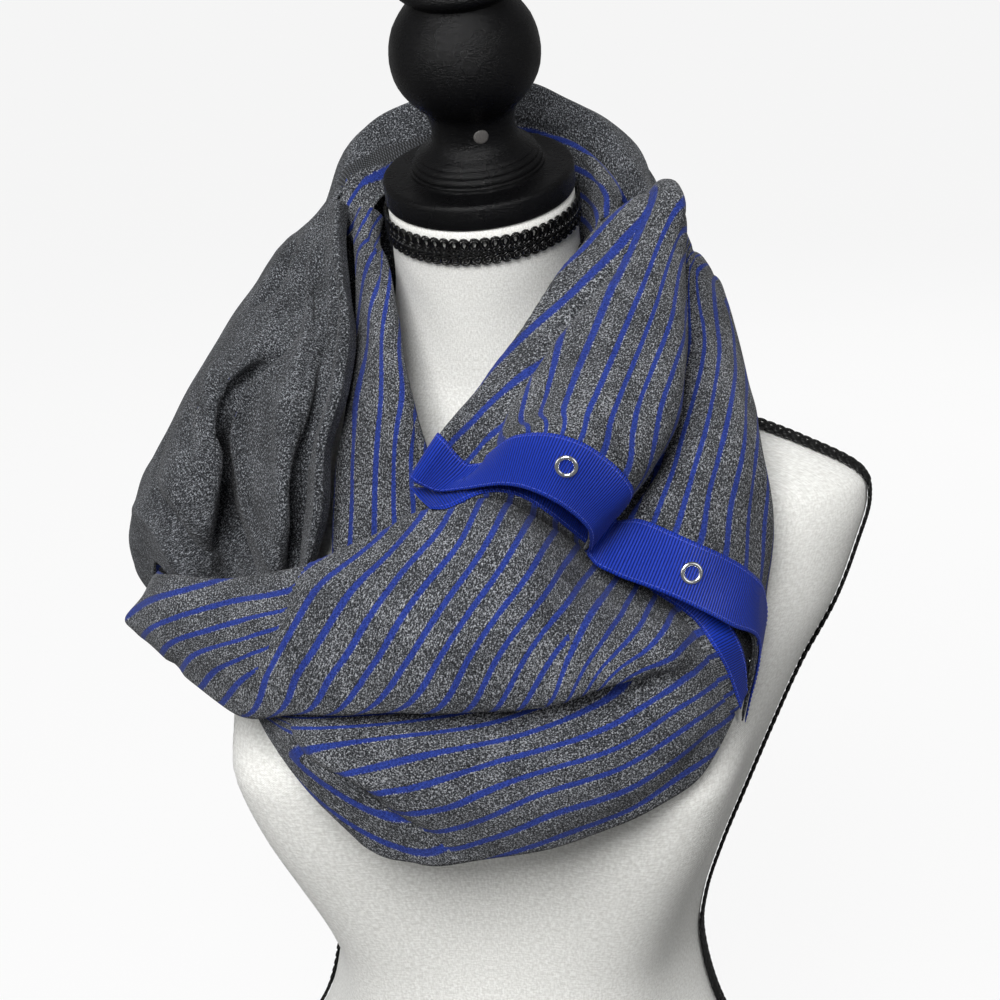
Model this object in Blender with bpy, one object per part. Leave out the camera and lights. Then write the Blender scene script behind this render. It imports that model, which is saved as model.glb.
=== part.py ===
"""Snap-end infinity scarf worn in two turns on a dress form.

The form faces -Y, its left side is +X and it stands on the XY plane. Sizes are in
millimetres and become metres where a mesh is made.
"""

import math

import bpy
import numpy as np

MM = 0.001
GAP = 0.3
SHARP_ANGLE = math.radians(50.0)

# ------------------------------------------------------------------ dress form, sizes
BASE_HEIGHT = 12.0
BASE_INSET = 3.0
BASE_BEVEL = 1.5
LEAN = math.radians(16.3)
NECK_RADIUS = 46.8
NECK_TOP_Y = -0.5
NECK_TOP_Z = 621.0
TORSO_COLUMNS = 32
TORSO_ROWS = 36
BUST_HEIGHT = 335.0
BUST_REACH = 43.0
BUST_RISE = 40.0
BUST_FALL = 118.0
BUST_TURN = math.radians(37.5)
BUST_SPREAD = math.radians(20.5)
BUST_SPLAY = math.radians(34.0)

# Rings of the torso and neck, bottom to top, in millimetres and degrees.
TORSO_RINGS = (
    # height, half width, depth in front, depth behind, centre y, forward lean
    (BASE_HEIGHT + GAP, 146.0, 86.0, 92.0, 4.0, 0.0),
    (30.0, 152.0, 90.0, 98.0, 4.0, 0.0),
    (80.0, 154.0, 93.0, 104.0, 4.0, 0.0),
    (130.0, 134.0, 89.0, 92.0, 4.0, 0.0),
    (172.0, 110.0, 82.0, 76.0, 4.0, 0.0),
    (212.0, 100.0, 77.0, 69.0, 4.0, 0.0),
    (240.0, 102.5, 78.0, 69.0, 4.0, 0.0),
    (270.0, 112.0, 82.0, 72.0, 4.0, 0.0),
    (304.0, 125.5, 88.0, 77.0, 4.0, 0.0),
    (342.0, 141.0, 92.0, 80.0, 4.0, 0.0),
    (375.0, 155.5, 91.0, 82.0, 5.0, 0.0),
    (408.0, 173.0, 87.0, 82.0, 7.0, 0.0),
    (438.0, 184.0, 82.0, 80.0, 9.0, 0.0),
    (460.0, 190.0, 76.0, 74.0, 11.0, 0.0),
    (474.0, 185.0, 72.0, 68.0, 13.0, 1.0),
    (488.0, 156.0, 68.0, 63.0, 15.0, 3.0),
    (500.0, 124.0, 65.0, 58.0, 17.0, 6.0),
    (512.0, 94.0, 62.0, 53.0, 19.0, 9.0),
    (526.0, 72.0, 59.0, 50.0, 21.0, 10.0),
    (545.0, 57.0, 54.0, 48.0, 20.0, 13.0),
    (577.0, 48.5, 48.0, 47.5, 12.0, 16.3),
    (NECK_TOP_Z, NECK_RADIUS, NECK_RADIUS, NECK_RADIUS, NECK_TOP_Y, 16.3),
)

RING_LEVELS = np.linspace(0, len(TORSO_RINGS) - 1, TORSO_ROWS)
SIDE_BRAID_TOP = TORSO_ROWS - 1

# Turned neck cap, bottom to top: height above the neck along its axis, and radius.
CAP_PROFILE = (
    (0.0, 47.8),
    (10.8, 47.8),
    (12.2, 47.0),
    (12.9, 45.0),
    (13.3, 36.0),
    (13.9, 33.7),
    (16.4, 33.1),
    (19.8, 31.3),
    (22.4, 29.2),
    (24.8, 26.2),
    (27.6, 23.0),
    (31.2, 21.0),
    (36.4, 20.8),
    (41.2, 21.3),
    (45.0, 22.4),
    (49.0, 26.0),
    (54.0, 30.6),
    (61.0, 34.8),
    (68.5, 36.7),
    (76.0, 36.8),
    (83.5, 35.4),
    (91.0, 32.0),
    (97.0, 27.6),
    (101.0, 24.6),
    (103.4, 26.6),
    (105.4, 29.4),
    (108.6, 30.0),
    (111.6, 28.4),
    (114.0, 23.0),
    (115.6, 12.0),
)
CAP_SEGMENTS = 28
BRAID_WIDTH = 13.5
BRAID_THICKNESS = 2.6
BRAID_BELOW_CAP = 2.9
BRAID_EDGE_THICKNESS = 2.1
BRAID_CLEARANCE = 0.6
NECK_BRAID_STEPS = 2 * TORSO_COLUMNS

# ----------------------------------------------------------------------- scarf, sizes
CLOTH_THICKNESS = 2.0
RIBBON_THICKNESS = 1.0

# Steps of each stretch's mesh, along it and across it.
CLOTH_STEPS = {
    "right_strand": (21, 33),
    "front_band": (24, 26),
    "left_outer_drape": (17, 22),
    "left_inner_strand": (12, 12),
    "back_outer_turn": (16, 17),
    "back_inner_turn": (15, 12),
    "ribbon_lower": (24, 2),
}

# Where each snap sits on the snap end: section number and rail number.
SNAP_PLACES = {
    "snap_1": (6.46, 4.0),
    "snap_2": (6.5, 8.15),
}

SNAP_RADIUS = 5.5
SNAP_BORE = 3.3
SNAP_HEIGHT = 1.1
SNAP_SHOULDER = 0.5
SNAP_SEGMENTS = 20

# The snap end, from behind the left shoulder down to its bound edge. Each section runs
# from the tuck behind the V edge, over the front fold, through the valley and over the
# rear fold to the tuck behind the shoulder.
RIGHT_STRAND = (
    # section, then tuck, V edge, crease, hump, crown, crest,
    # valley, lip, rear crown, rear side, outline, rear tuck
    ("back", (71, 35, 596), (74, 36, 604), (76, 38, 610), (78, 43, 614), (81, 49, 611), (83, 53, 604),
     (85, 57, 595), (86, 61, 587), (88, 65, 578), (89, 73, 562), (92, 81, 537), (89, 88, 502)),
    ("knob", (69, 4, 604), (71, -9, 611), (78, -9, 617), (86, -11, 621), (94, -12, 624),
     (103, -14, 615), (101, 4, 601), (103, 8, 592), (106, 12, 587), (109, 26, 577), (111, 44, 565),
     (109, 70, 544)),
    ("collar", (55, -28, 585), (52, -43, 593), (64, -47, 595), (77, -51, 595), (91, -52, 595),
     (104, -38, 590), (101, -12, 581), (105, -9, 580), (111, -4, 577), (117, 12, 567), (119, 34, 553),
     (114, 62, 522)),
    ("throat", (33, -46, 555), (31, -66, 563), (45, -76, 565), (63, -86, 567), (85, -90, 568),
     (108, -70, 564), (103, -36, 549), (108, -34, 549), (117, -28, 548), (127, -8, 540),
     (129, 16, 524), (125, 20, 509)),
    ("chest", (13, -74, 530), (12, -92, 538), (28, -100, 538), (51, -112, 544), (78, -117, 546),
     (107, -98, 535), (101, -72, 517), (109, -70, 519), (121, -68, 520), (136, -58, 513),
     (141, -44, 499), (128, -36, 486)),
    ("flare", (6, -86, 523), (6, -103, 531), (20, -105, 524), (46, -121, 536), (73, -126, 537),
     (99, -110, 519), (92, -87, 497), (103, -90, 500), (120, -92, 496), (138, -76, 482),
     (147, -56, 461), (129, -52, 446)),
    ("binding", (0, -94, 514), (0, -113, 524), (14, -112, 510), (40, -127, 528), (68, -133, 527),
     (88, -121, 504), (78, -100, 480), (91, -100, 480), (114, -106, 472), (136, -90, 454),
     (143, -66, 430), (136, -56, 393)),
    ("end", (-14, -96, 495), (-15, -113, 503), (0, -113, 497), (32, -128, 505), (53, -134, 501),
     (68, -124, 484), (65, -104, 463), (79, -106, 455), (105, -114, 448), (130, -105, 431),
     (141, -82, 413), (132, -66, 367)),
)

# The overlapped end, from its fold at the right shoulder to its bound edge. Each section
# runs from the rolled top edge down the band to its lip, up behind it and down the swag.
FRONT_BAND = (
    # section, then tuck, roll, upper, middle, lower, lip,
    # tuck, swag top, swag upper, swag lower, hem
    ("ear", (-171, -48, 434), (-171, -58, 433), (-174, -66, 426), (-180, -76, 418), (-176, -77, 412),
     (-172, -71, 405), (-171, -57, 405), (-165, -50, 408), (-159, -48, 412), (-153, -46, 415),
     (-148, -44, 417)),
    ("fold", (-147, -80, 436), (-147, -91, 445), (-146, -101, 440), (-146, -107, 429),
     (-147, -108, 417), (-145, -102, 402), (-145, -86, 400), (-142, -78, 403), (-140, -73, 408),
     (-137, -69, 412), (-134, -65, 415)),
    ("side", (-113, -94, 439), (-111, -105, 448), (-108, -118, 442), (-107, -128, 429),
     (-108, -131, 412), (-108, -126, 389), (-109, -110, 386), (-111, -102, 388), (-111, -97, 393),
     (-110, -92, 398), (-108, -88, 403)),
    ("left", (-83, -101, 447), (-81, -113, 456), (-76, -128, 450), (-72, -140, 437), (-72, -147, 418),
     (-70, -145, 397), (-83, -125, 393), (-95, -116, 384), (-90, -121, 368), (-73, -130, 351),
     (-52, -131, 331)),
    ("midleft", (-44, -107, 463), (-43, -118, 471), (-35, -135, 463), (-30, -148, 448),
     (-27, -155, 426), (-26, -153, 402), (-49, -131, 399), (-68, -139, 387), (-57, -144, 368),
     (-37, -144, 351), (-19, -134, 316)),
    ("middle", (-11, -108, 479), (-10, -118, 487), (2, -137, 478), (8, -151, 459), (12, -158, 432),
     (13, -155, 404), (-1, -134, 405), (-21, -143, 388), (-10, -147, 369), (2, -147, 350),
     (13, -135, 320)),
    ("midright", (24, -104, 485), (25, -112, 492), (38, -134, 482), (45, -148, 462), (50, -156, 435),
     (51, -152, 407), (43, -133, 408), (26, -141, 392), (36, -146, 376), (44, -146, 356),
     (49, -134, 328)),
    ("right", (64, -72, 448), (69, -80, 453), (75, -101, 445), (80, -124, 438), (83, -138, 427),
     (83, -142, 415), (78, -131, 410), (74, -133, 401), (79, -138, 386), (84, -138, 367),
     (89, -127, 342)),
    ("nearend", (94, -78, 436), (96, -84, 437), (101, -101, 435), (105, -116, 431), (107, -123, 424),
     (107, -124, 417), (107, -121, 411), (107, -120, 403), (110, -120, 390), (113, -116, 374),
     (115, -106, 354)),
    ("end", (105, -80, 428), (108, -87, 426), (112, -95, 424), (116, -100, 421), (118, -101, 417),
     (121, -100, 413), (122, -99, 408), (124, -97, 403), (126, -94, 394), (128, -90, 387),
     (130, -85, 378)),
)

# The outer turn over the right shoulder, reverse side out, top to bottom. Each section runs
# from the tuck by the neck out over the folds to the back of the shoulder.
LEFT_OUTER_DRAPE = (
    # section, then tuck, roll, groove, ridge, valley, shoulder,
    # crest, side, rear, back
    ("nape", (-75, 20, 612), (-77, 10, 617), (-85, 18, 612), (-93, 18, 606), (-104, 28, 598),
     (-113, 34, 592), (-124, 42, 580), (-123, 62, 564), (-120, 80, 538), (-106, 93, 500)),
    ("neck", (-69, -12, 588), (-71, -22, 593), (-79, -16, 590), (-89, -16, 588), (-100, -8, 586),
     (-110, -4, 582), (-127, 12, 571), (-145, 36, 551), (-152, 64, 524), (-136, 82, 484)),
    ("shoulder", (-59, -42, 559), (-60, -54, 566), (-71, -46, 562), (-80, -50, 563), (-95, -38, 559),
     (-108, -38, 558), (-130, -20, 555), (-155, 8, 530), (-172, 42, 500), (-162, 66, 462)),
    ("upper", (-57, -66, 534), (-59, -80, 538), (-71, -70, 533), (-79, -78, 535), (-111, -54, 531),
     (-121, -68, 537), (-143, -50, 530), (-173, -14, 497), (-195, 22, 466), (-188, 48, 432)),
    ("middle", (-64, -78, 510), (-65, -92, 514), (-75, -82, 508), (-83, -92, 508), (-123, -54, 503),
     (-124, -76, 510), (-147, -66, 505), (-181, -30, 478), (-199, 2, 446), (-194, 30, 412)),
    ("lower", (-66, -88, 478), (-68, -99, 481), (-80, -84, 474), (-88, -97, 476), (-126, -54, 470),
     (-130, -77, 477), (-152, -75, 476), (-179, -46, 463), (-197, -14, 428), (-191, 12, 396)),
    ("pocket", (-79, -84, 439), (-81, -92, 441), (-90, -80, 437), (-98, -86, 438), (-125, -58, 430),
     (-138, -68, 430), (-154, -66, 435), (-175, -40, 436), (-184, -16, 408), (-180, 4, 386)),
)

# The inner turn beside the neck on the right, top to bottom, from outside to the neck.
LEFT_INNER_STRAND = (
    # section, then outer edge, outer, middle, crown, inner roll, tuck
    ("nape", (-67, 8, 612), (-62, 2, 614), (-58, 0, 614), (-55, 2, 612), (-53, 6, 608), (-57, 14, 602)),
    ("collar", (-67, 0, 600), (-61, -8, 602), (-57, -11, 601), (-54, -9, 599), (-53, -3, 596),
     (-58, 6, 591)),
    ("neck", (-66, -6, 587), (-60, -16, 589), (-51, -24, 590), (-45, -30, 590), (-43, -28, 588),
     (-50, -14, 582)),
    ("throat", (-61, -30, 557), (-53, -42, 559), (-45, -53, 561), (-36, -58, 560), (-33, -52, 555),
     (-41, -38, 549)),
    ("chest", (-61, -54, 527), (-52, -66, 530), (-39, -76, 532), (-27, -80, 533), (-23, -75, 529),
     (-31, -60, 522)),
    ("fold", (-65, -72, 496), (-54, -79, 499), (-38, -85, 501), (-24, -87, 505), (-16, -82, 508),
     (-19, -66, 501)),
    ("pocket", (-67, -80, 452), (-56, -86, 456), (-40, -90, 462), (-24, -92, 470), (-12, -90, 481),
     (-10, -78, 480)),
)

# The outer turn behind the neck, from right to left. Each section runs from the rim by the
# neck up over the top and down the outside to the hem on the back.
BACK_OUTER_TURN = (
    # section, then rim, inner, top, outer shoulder, outer, groove,
    # low, hem
    ("left", (-72, 26, 588), (-76, 25, 594), (-86, 24, 598), (-98, 33, 587), (-109, 48, 564),
     (-110, 58, 548), (-112, 70, 528), (-99, 85, 497)),
    ("left back", (-62, 32, 612), (-67, 37, 626), (-75, 46, 640), (-85, 60, 634), (-97, 73, 610),
     (-94, 80, 586), (-99, 92, 552), (-88, 92, 494)),
    ("back left", (-44, 52, 622), (-49, 57, 640), (-56, 66, 657), (-60, 84, 648), (-66, 98, 622),
     (-66, 94, 594), (-68, 108, 556), (-62, 100, 490)),
    ("back", (-2, 71, 636), (-2, 68, 652), (-3, 78, 668), (-4, 96, 655), (-6, 110, 626),
     (-7, 102, 598), (-8, 115, 560), (-6, 105, 486)),
    ("back right", (30, 64, 630), (30, 64, 646), (30, 74, 659), (36, 92, 647), (42, 105, 616),
     (45, 98, 586), (48, 111, 552), (48, 103, 488)),
    ("right back", (57, 52, 614), (58, 53, 628), (56, 62, 643), (68, 76, 632), (77, 84, 608),
     (78, 85, 582), (83, 97, 546), (78, 98, 492)),
    ("right", (70, 38, 598), (72, 39, 606), (75, 46, 616), (80, 56, 606), (85, 66, 582), (86, 73, 565),
     (89, 82, 540), (85, 89, 504)),
)

# The inner turn behind the neck, from right to left, bottom to top.
BACK_INNER_TURN = (
    # section, then bottom, ridge, groove, ridge, top, tuck
    ("left", (-53, 28, 582), (-56, 30, 591), (-55, 34, 598), (-57, 37, 604), (-58, 40, 610),
     (-63, 47, 606)),
    ("left back", (-42, 48, 590), (-44, 50, 599), (-43, 54, 605), (-45, 55, 611), (-45, 58, 618),
     (-49, 66, 613)),
    ("back", (-2, 57, 601), (-2, 58, 611), (-2, 62, 618), (-2, 60, 627), (-2, 60, 638), (-2, 66, 634)),
    ("back right", (24, 51, 596), (25, 51, 608), (25, 55, 617), (26, 53, 628), (26, 51, 641),
     (29, 57, 637)),
    ("right back", (44, 36, 590), (46, 36, 603), (46, 41, 611), (48, 40, 621), (46, 44, 633),
     (51, 48, 628)),
    ("right", (53, 14, 584), (55, 14, 594), (55, 18, 601), (57, 20, 608), (60, 25, 618), (66, 32, 614)),
    ("end", (52, -2, 575), (54, -2, 583), (55, 1, 590), (57, 2, 597), (60, 6, 605), (65, 12, 602)),
)

# Grosgrain of the overlapped end, from its left end to its right end.
LOWER_RIBBON = (
    # section, then lower edge, middle, upper edge
    ("left end", (-6, -121, 491), (-13, -112, 493), (-19, -104, 496)),
    ("left", (3, -122, 492), (-3, -111, 494), (-9, -101, 496)),
    ("peek", (19, -118, 498), (15, -111, 501), (11, -102, 503)),
    ("peek end", (34, -117, 497), (32, -112, 502), (30, -105, 506)),
    ("under", (49, -114, 487), (51, -110, 492), (52, -105, 498)),
    ("valley", (67, -92, 462), (69, -89, 467), (72, -85, 472)),
    ("hidden", (92, -93, 444), (95, -91, 450), (98, -88, 455)),
    ("corner", (112, -96, 431), (116, -94, 435), (120, -90, 438)),
    ("right", (123, -107, 421), (127, -102, 422), (132, -95, 423)),
    ("right low", (129, -103, 407), (132, -97, 407), (136, -89, 407)),
    ("right end", (134, -93, 384), (135, -88, 387), (136, -82, 388)),
)

# --------------------------------------------------------------------------- geometry


def spline(rows, samples):
    """Catmull-Rom through the rows; samples are row numbers, which need not be whole."""
    table = np.asarray(rows, float)
    last = len(table) - 1
    ends = (2 * table[:1] - table[1:2], 2 * table[-1:] - table[-2:-1])
    padded = np.concatenate([ends[0], table, ends[1]])
    low = np.clip(np.floor(samples).astype(int), 0, last - 1)
    share = (samples - low).reshape((-1,) + (1,) * (table.ndim - 1))
    before, start, end, after = (padded[low + step] for step in range(4))
    bend = 2 * before - 5 * start + 4 * end - after
    twist = 3 * (start - end) + after - before
    return start + 0.5 * share * (end - before + share * (bend + share * twist))


def weave(sections, rows, columns):
    """A smooth grid of points through a table of sections."""
    table = np.asarray([section[1:] for section in sections], float)
    along = spline(table, np.asarray(rows, float))
    across = spline(along.transpose(1, 0, 2), np.asarray(columns, float))
    return across.transpose(1, 0, 2)


def grid_normals(grid):
    """Unit normals of a grid, on the side that a wearer's onlooker sees."""
    down = np.gradient(grid, axis=0)
    over = np.gradient(grid, axis=1)
    normal = np.cross(down, over)
    return normal / np.linalg.norm(normal, axis=2, keepdims=True)


def make_object(name, vertices, faces, finish):
    mesh = bpy.data.meshes.new(name)
    mesh.from_pydata([tuple(vertex) for vertex in np.asarray(vertices) * MM], [], faces)
    mesh.materials.append(finish)
    mesh.shade_smooth()
    mesh.set_sharp_from_angle(angle=SHARP_ANGLE)
    thing = bpy.data.objects.new(name, mesh)
    bpy.context.scene.collection.objects.link(thing)
    return thing


def shell(name, outer, inner, finish):
    """A closed wall between two grids of the same size."""
    rows, columns = outer.shape[:2]
    count = rows * columns
    faces = []
    for row in range(rows - 1):
        for column in range(columns - 1):
            here = row * columns + column
            below, across, beside = (here + columns, here + columns + 1, here + 1)
            faces += [(here, below, across), (here, across, beside)]
            faces += [(across + count, below + count, here + count)]
            faces += [(beside + count, across + count, here + count)]
    rim = [(0, column) for column in range(columns)]
    rim += [(row, columns - 1) for row in range(1, rows)]
    rim += [(rows - 1, column) for column in range(columns - 2, -1, -1)]
    rim += [(row, 0) for row in range(rows - 2, 0, -1)]
    loop = [row * columns + column for row, column in rim]
    for here, after in zip(loop, loop[1:] + loop[:1]):
        faces.append((here, after, after + count, here + count))
    vertices = np.concatenate([outer.reshape(-1, 3), inner.reshape(-1, 3)])
    return make_object(name, vertices, faces, finish)


def lathe_faces(rings, segments):
    """Faces of stacked rings of points, closed by a flat face at each end."""
    faces = []
    for ring in range(rings - 1):
        for step in range(segments):
            here = ring * segments + step
            beside = ring * segments + (step + 1) % segments
            faces.append((here, beside, beside + segments, here + segments))
    faces.append(tuple(range(segments - 1, -1, -1)))
    faces.append(tuple((rings - 1) * segments + step for step in range(segments)))
    return faces


def finish_of(name, colour, roughness, metallic=0.0):
    material = bpy.data.materials.new(name)
    material.use_nodes = True
    shader = material.node_tree.nodes["Principled BSDF"]
    shader.inputs["Base Color"].default_value = (*colour, 1.0)
    shader.inputs["Roughness"].default_value = roughness
    shader.inputs["Metallic"].default_value = metallic
    return material


# ------------------------------------------------------------------------- dress form


def torso_point(level, turn):
    """Point of the torso at a ring number and an angle from the front towards +X."""
    height, half, front, behind, centre, lean = spline(TORSO_RINGS, np.array([level]))[0]
    facing = math.cos(turn)
    side = half * math.sin(turn)
    depth = -facing * (front if facing > 0 else behind)
    if facing > 0:
        away = (math.acos(facing) - BUST_TURN) / BUST_SPREAD
        up = (height - BUST_HEIGHT) / (BUST_RISE if height > BUST_HEIGHT else BUST_FALL)
        swell = BUST_REACH * math.exp(-away * away - up * up)
        side += swell * math.sin(BUST_SPLAY) * math.sin(turn) / math.sin(BUST_TURN)
        depth -= swell * math.cos(BUST_SPLAY)
    tilt = math.radians(lean)
    return np.array([side, centre + depth * math.cos(tilt), height + depth * math.sin(tilt)])


def torso_normal(level, turn):
    step = 0.01
    rise = torso_point(level + step, turn) - torso_point(level - step, turn)
    sweep = torso_point(level, turn + step) - torso_point(level, turn - step)
    normal = np.cross(sweep, rise)
    return normal / np.linalg.norm(normal)


def make_torso(linen):
    turns = np.linspace(0, 2 * math.pi, TORSO_COLUMNS, endpoint=False)
    points = [torso_point(level, turn) for level in RING_LEVELS for turn in turns]
    return make_object("torso", points, lathe_faces(TORSO_ROWS, TORSO_COLUMNS), linen)


def make_base(wood):
    turns = np.linspace(0, 2 * math.pi, TORSO_COLUMNS, endpoint=False)
    rim = np.array([torso_point(0, turn) for turn in turns])
    centre = rim.mean(axis=0)
    away = rim - centre
    rim = centre + away * (1 - BASE_INSET / np.linalg.norm(away, axis=1, keepdims=True))
    away = rim - centre
    shrink = 1 - BASE_BEVEL / np.linalg.norm(away, axis=1, keepdims=True)
    rings = (centre + away * shrink, rim.copy(), rim.copy())
    for ring, height in zip(rings, (0.0, BASE_BEVEL, BASE_HEIGHT)):
        ring[:, 2] = height
    return make_object("base_board", np.concatenate(rings), lathe_faces(3, TORSO_COLUMNS), wood)


def on_neck_axis(height, radius, turn):
    """Point at a height along the neck's axis above its top, and a radius from the axis."""
    across = radius * math.sin(turn)
    fore = -radius * math.cos(turn)
    return (
        across,
        NECK_TOP_Y - height * math.sin(LEAN) + fore * math.cos(LEAN),
        NECK_TOP_Z + height * math.cos(LEAN) + fore * math.sin(LEAN),
    )


def make_neck_cap(wood):
    turns = np.linspace(0, 2 * math.pi, CAP_SEGMENTS, endpoint=False)
    points = [
        on_neck_axis(height + GAP, radius, turn) for height, radius in CAP_PROFILE for turn in turns
    ]
    return make_object("neck_cap", points, lathe_faces(len(CAP_PROFILE), CAP_SEGMENTS), wood)


def ring_face(step, after, corner, beside, count):
    """One face of a closed ring whose cross sections have count corners."""
    here, there = (step * count, after * count)
    return (here + corner, there + corner, there + beside, here + beside)


def make_neck_braid(braid):
    """A ring of braid round the top of the neck, moved out from the neck's own points."""
    last = len(TORSO_RINGS) - 1
    bottom_ring, top_ring = (np.array(TORSO_RINGS[last - 1]), np.array(TORSO_RINGS[last]))
    ring_height = (top_ring[0] - bottom_ring[0]) / math.cos(LEAN)
    top = last - BRAID_BELOW_CAP / ring_height
    bottom = top - BRAID_WIDTH / ring_height
    profile = (
        (bottom, BRAID_CLEARANCE),
        (bottom, BRAID_EDGE_THICKNESS),
        ((bottom + top) / 2, BRAID_THICKNESS),
        (top, BRAID_EDGE_THICKNESS),
        (top, BRAID_CLEARANCE),
    )
    vertices = []
    faces = []
    count = len(profile)
    for step in range(NECK_BRAID_STEPS):
        turn = 2 * math.pi * step / NECK_BRAID_STEPS
        for level, lift in profile:
            vertices.append(torso_point(level, turn) + torso_normal(level, turn) * lift)
        after = (step + 1) % NECK_BRAID_STEPS
        for corner in range(count):
            beside = (corner + 1) % count
            faces.append(ring_face(step, after, corner, beside, count))
    return make_object("neck_braid", vertices, faces, braid)


def make_side_braid(name, side, braid):
    """Braid that lies on the side of the neck, the shoulder line and the side seam."""
    outer = []
    inner = []
    middle = math.pi / 2
    step = 0.02
    for level in RING_LEVELS[1:SIDE_BRAID_TOP]:
        chord = np.linalg.norm(torso_point(level, middle + step) - torso_point(level, middle - step))
        half_turn = BRAID_WIDTH * step / chord
        turns = [side * (middle - side * share * half_turn) for share in (-1.0, 0.0, 1.0)]
        points = np.array([torso_point(level, turn) for turn in turns])
        normals = np.array([torso_normal(level, turn) for turn in turns])
        crown = np.array([[BRAID_EDGE_THICKNESS], [BRAID_THICKNESS], [BRAID_EDGE_THICKNESS]])
        inner.append(points + normals * BRAID_CLEARANCE)
        outer.append(points + normals * crown)
    return shell(name, np.array(outer), np.array(inner), braid)


# ------------------------------------------------------------------------------ scarf


def cloth_points(sections, rows, columns, lift=0.0):
    """The middle of a stretch of cloth, or a surface that stands lift away from it."""
    grid = weave(sections, rows, columns)
    return grid + grid_normals(grid) * lift


def spread(first, last, steps):
    return np.linspace(first, last, steps + 1)


def cloth_grid(name, sections):
    """Section and rail numbers of a stretch's mesh."""
    along, across = CLOTH_STEPS[name]
    return spread(0, len(sections) - 1, along), spread(0, len(sections[0]) - 2, across)


def make_cloth(name, sections, finish, thickness=CLOTH_THICKNESS):
    rows, columns = cloth_grid(name, sections)
    outer = cloth_points(sections, rows, columns, thickness / 2)
    inner = cloth_points(sections, rows, columns, -thickness / 2)
    return shell(name, outer, inner, finish)


def make_upper_ribbon(ribbon):
    """Grosgrain over the bound edge of the snap end, moved out from the cloth's own points."""
    rows, columns = cloth_grid("right_strand", RIGHT_STRAND)
    bound = np.ix_(rows >= len(RIGHT_STRAND) - 2, columns >= 1 - GAP)
    lift = CLOTH_THICKNESS / 2 + GAP
    inner = cloth_points(RIGHT_STRAND, rows, columns, lift)
    outer = cloth_points(RIGHT_STRAND, rows, columns, lift + RIBBON_THICKNESS)
    return shell("ribbon_upper", outer[bound], inner[bound], ribbon)


def make_ring_snap(name, row, column, metal):
    """An open ring pressed into the ribbon, square to the cloth at its place."""
    around = np.array([-0.02, 0.0, 0.02])
    patch = weave(RIGHT_STRAND, row + around, column + around)
    normal = grid_normals(patch)[1, 1]
    centre = patch[1, 1] + normal * (CLOTH_THICKNESS / 2 + 2 * GAP + RIBBON_THICKNESS)
    across = patch[1, 2] - patch[1, 0]
    across -= normal * across.dot(normal)
    across /= np.linalg.norm(across)
    down = np.cross(normal, across)
    profile = (
        (SNAP_BORE, 0.0),
        (SNAP_RADIUS, 0.0),
        (SNAP_RADIUS, SNAP_SHOULDER),
        ((SNAP_BORE + SNAP_RADIUS) / 2, SNAP_HEIGHT),
        (SNAP_BORE, SNAP_SHOULDER),
    )
    vertices = []
    faces = []
    count = len(profile)
    for step in range(SNAP_SEGMENTS):
        turn = 2 * math.pi * step / SNAP_SEGMENTS
        out = across * math.cos(turn) + down * math.sin(turn)
        vertices += [centre + out * radius + normal * height for radius, height in profile]
        after = (step + 1) % SNAP_SEGMENTS
        for corner in range(count):
            beside = (corner + 1) % count
            faces.append(ring_face(step, after, corner, beside, count))
    return make_object(name, vertices, faces, metal)


# ------------------------------------------------------------------------------ build
for thing in list(bpy.data.objects):
    bpy.data.objects.remove(thing, do_unlink=True)

linen = finish_of("linen canvas", (0.78, 0.76, 0.71), 0.9)
black_wood = finish_of("black lacquered wood", (0.01, 0.01, 0.01), 0.3)
plain_wood = finish_of("sealed board", (0.35, 0.25, 0.16), 0.6)
gimp = finish_of("black gimp braid", (0.012, 0.012, 0.013), 0.6)
striped_knit = finish_of("striped heather knit", (0.14, 0.14, 0.17), 0.9)
plain_knit = finish_of("heather knit, reverse", (0.12, 0.12, 0.13), 0.9)
grosgrain = finish_of("royal blue grosgrain", (0.02, 0.04, 0.45), 0.5)
nickel = finish_of("nickel plated brass", (0.72, 0.72, 0.72), 0.2, 1.0)

make_base(plain_wood)
make_torso(linen)
make_neck_cap(black_wood)
make_neck_braid(gimp)
make_side_braid("side_braid_left", 1, gimp)
make_side_braid("side_braid_right", -1, gimp)

make_cloth("right_strand", RIGHT_STRAND, striped_knit)
make_cloth("front_band", FRONT_BAND, striped_knit)
make_cloth("left_outer_drape", LEFT_OUTER_DRAPE, plain_knit)
make_cloth("left_inner_strand", LEFT_INNER_STRAND, striped_knit)
make_cloth("back_outer_turn", BACK_OUTER_TURN, striped_knit)
make_cloth("back_inner_turn", BACK_INNER_TURN, striped_knit)

make_upper_ribbon(grosgrain)
make_cloth("ribbon_lower", LOWER_RIBBON, grosgrain, RIBBON_THICKNESS)
for name, (row, column) in SNAP_PLACES.items():
    make_ring_snap(name, row, column, nickel)
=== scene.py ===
import math

import bpy
import numpy as np
from mathutils import Matrix, Vector


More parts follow.
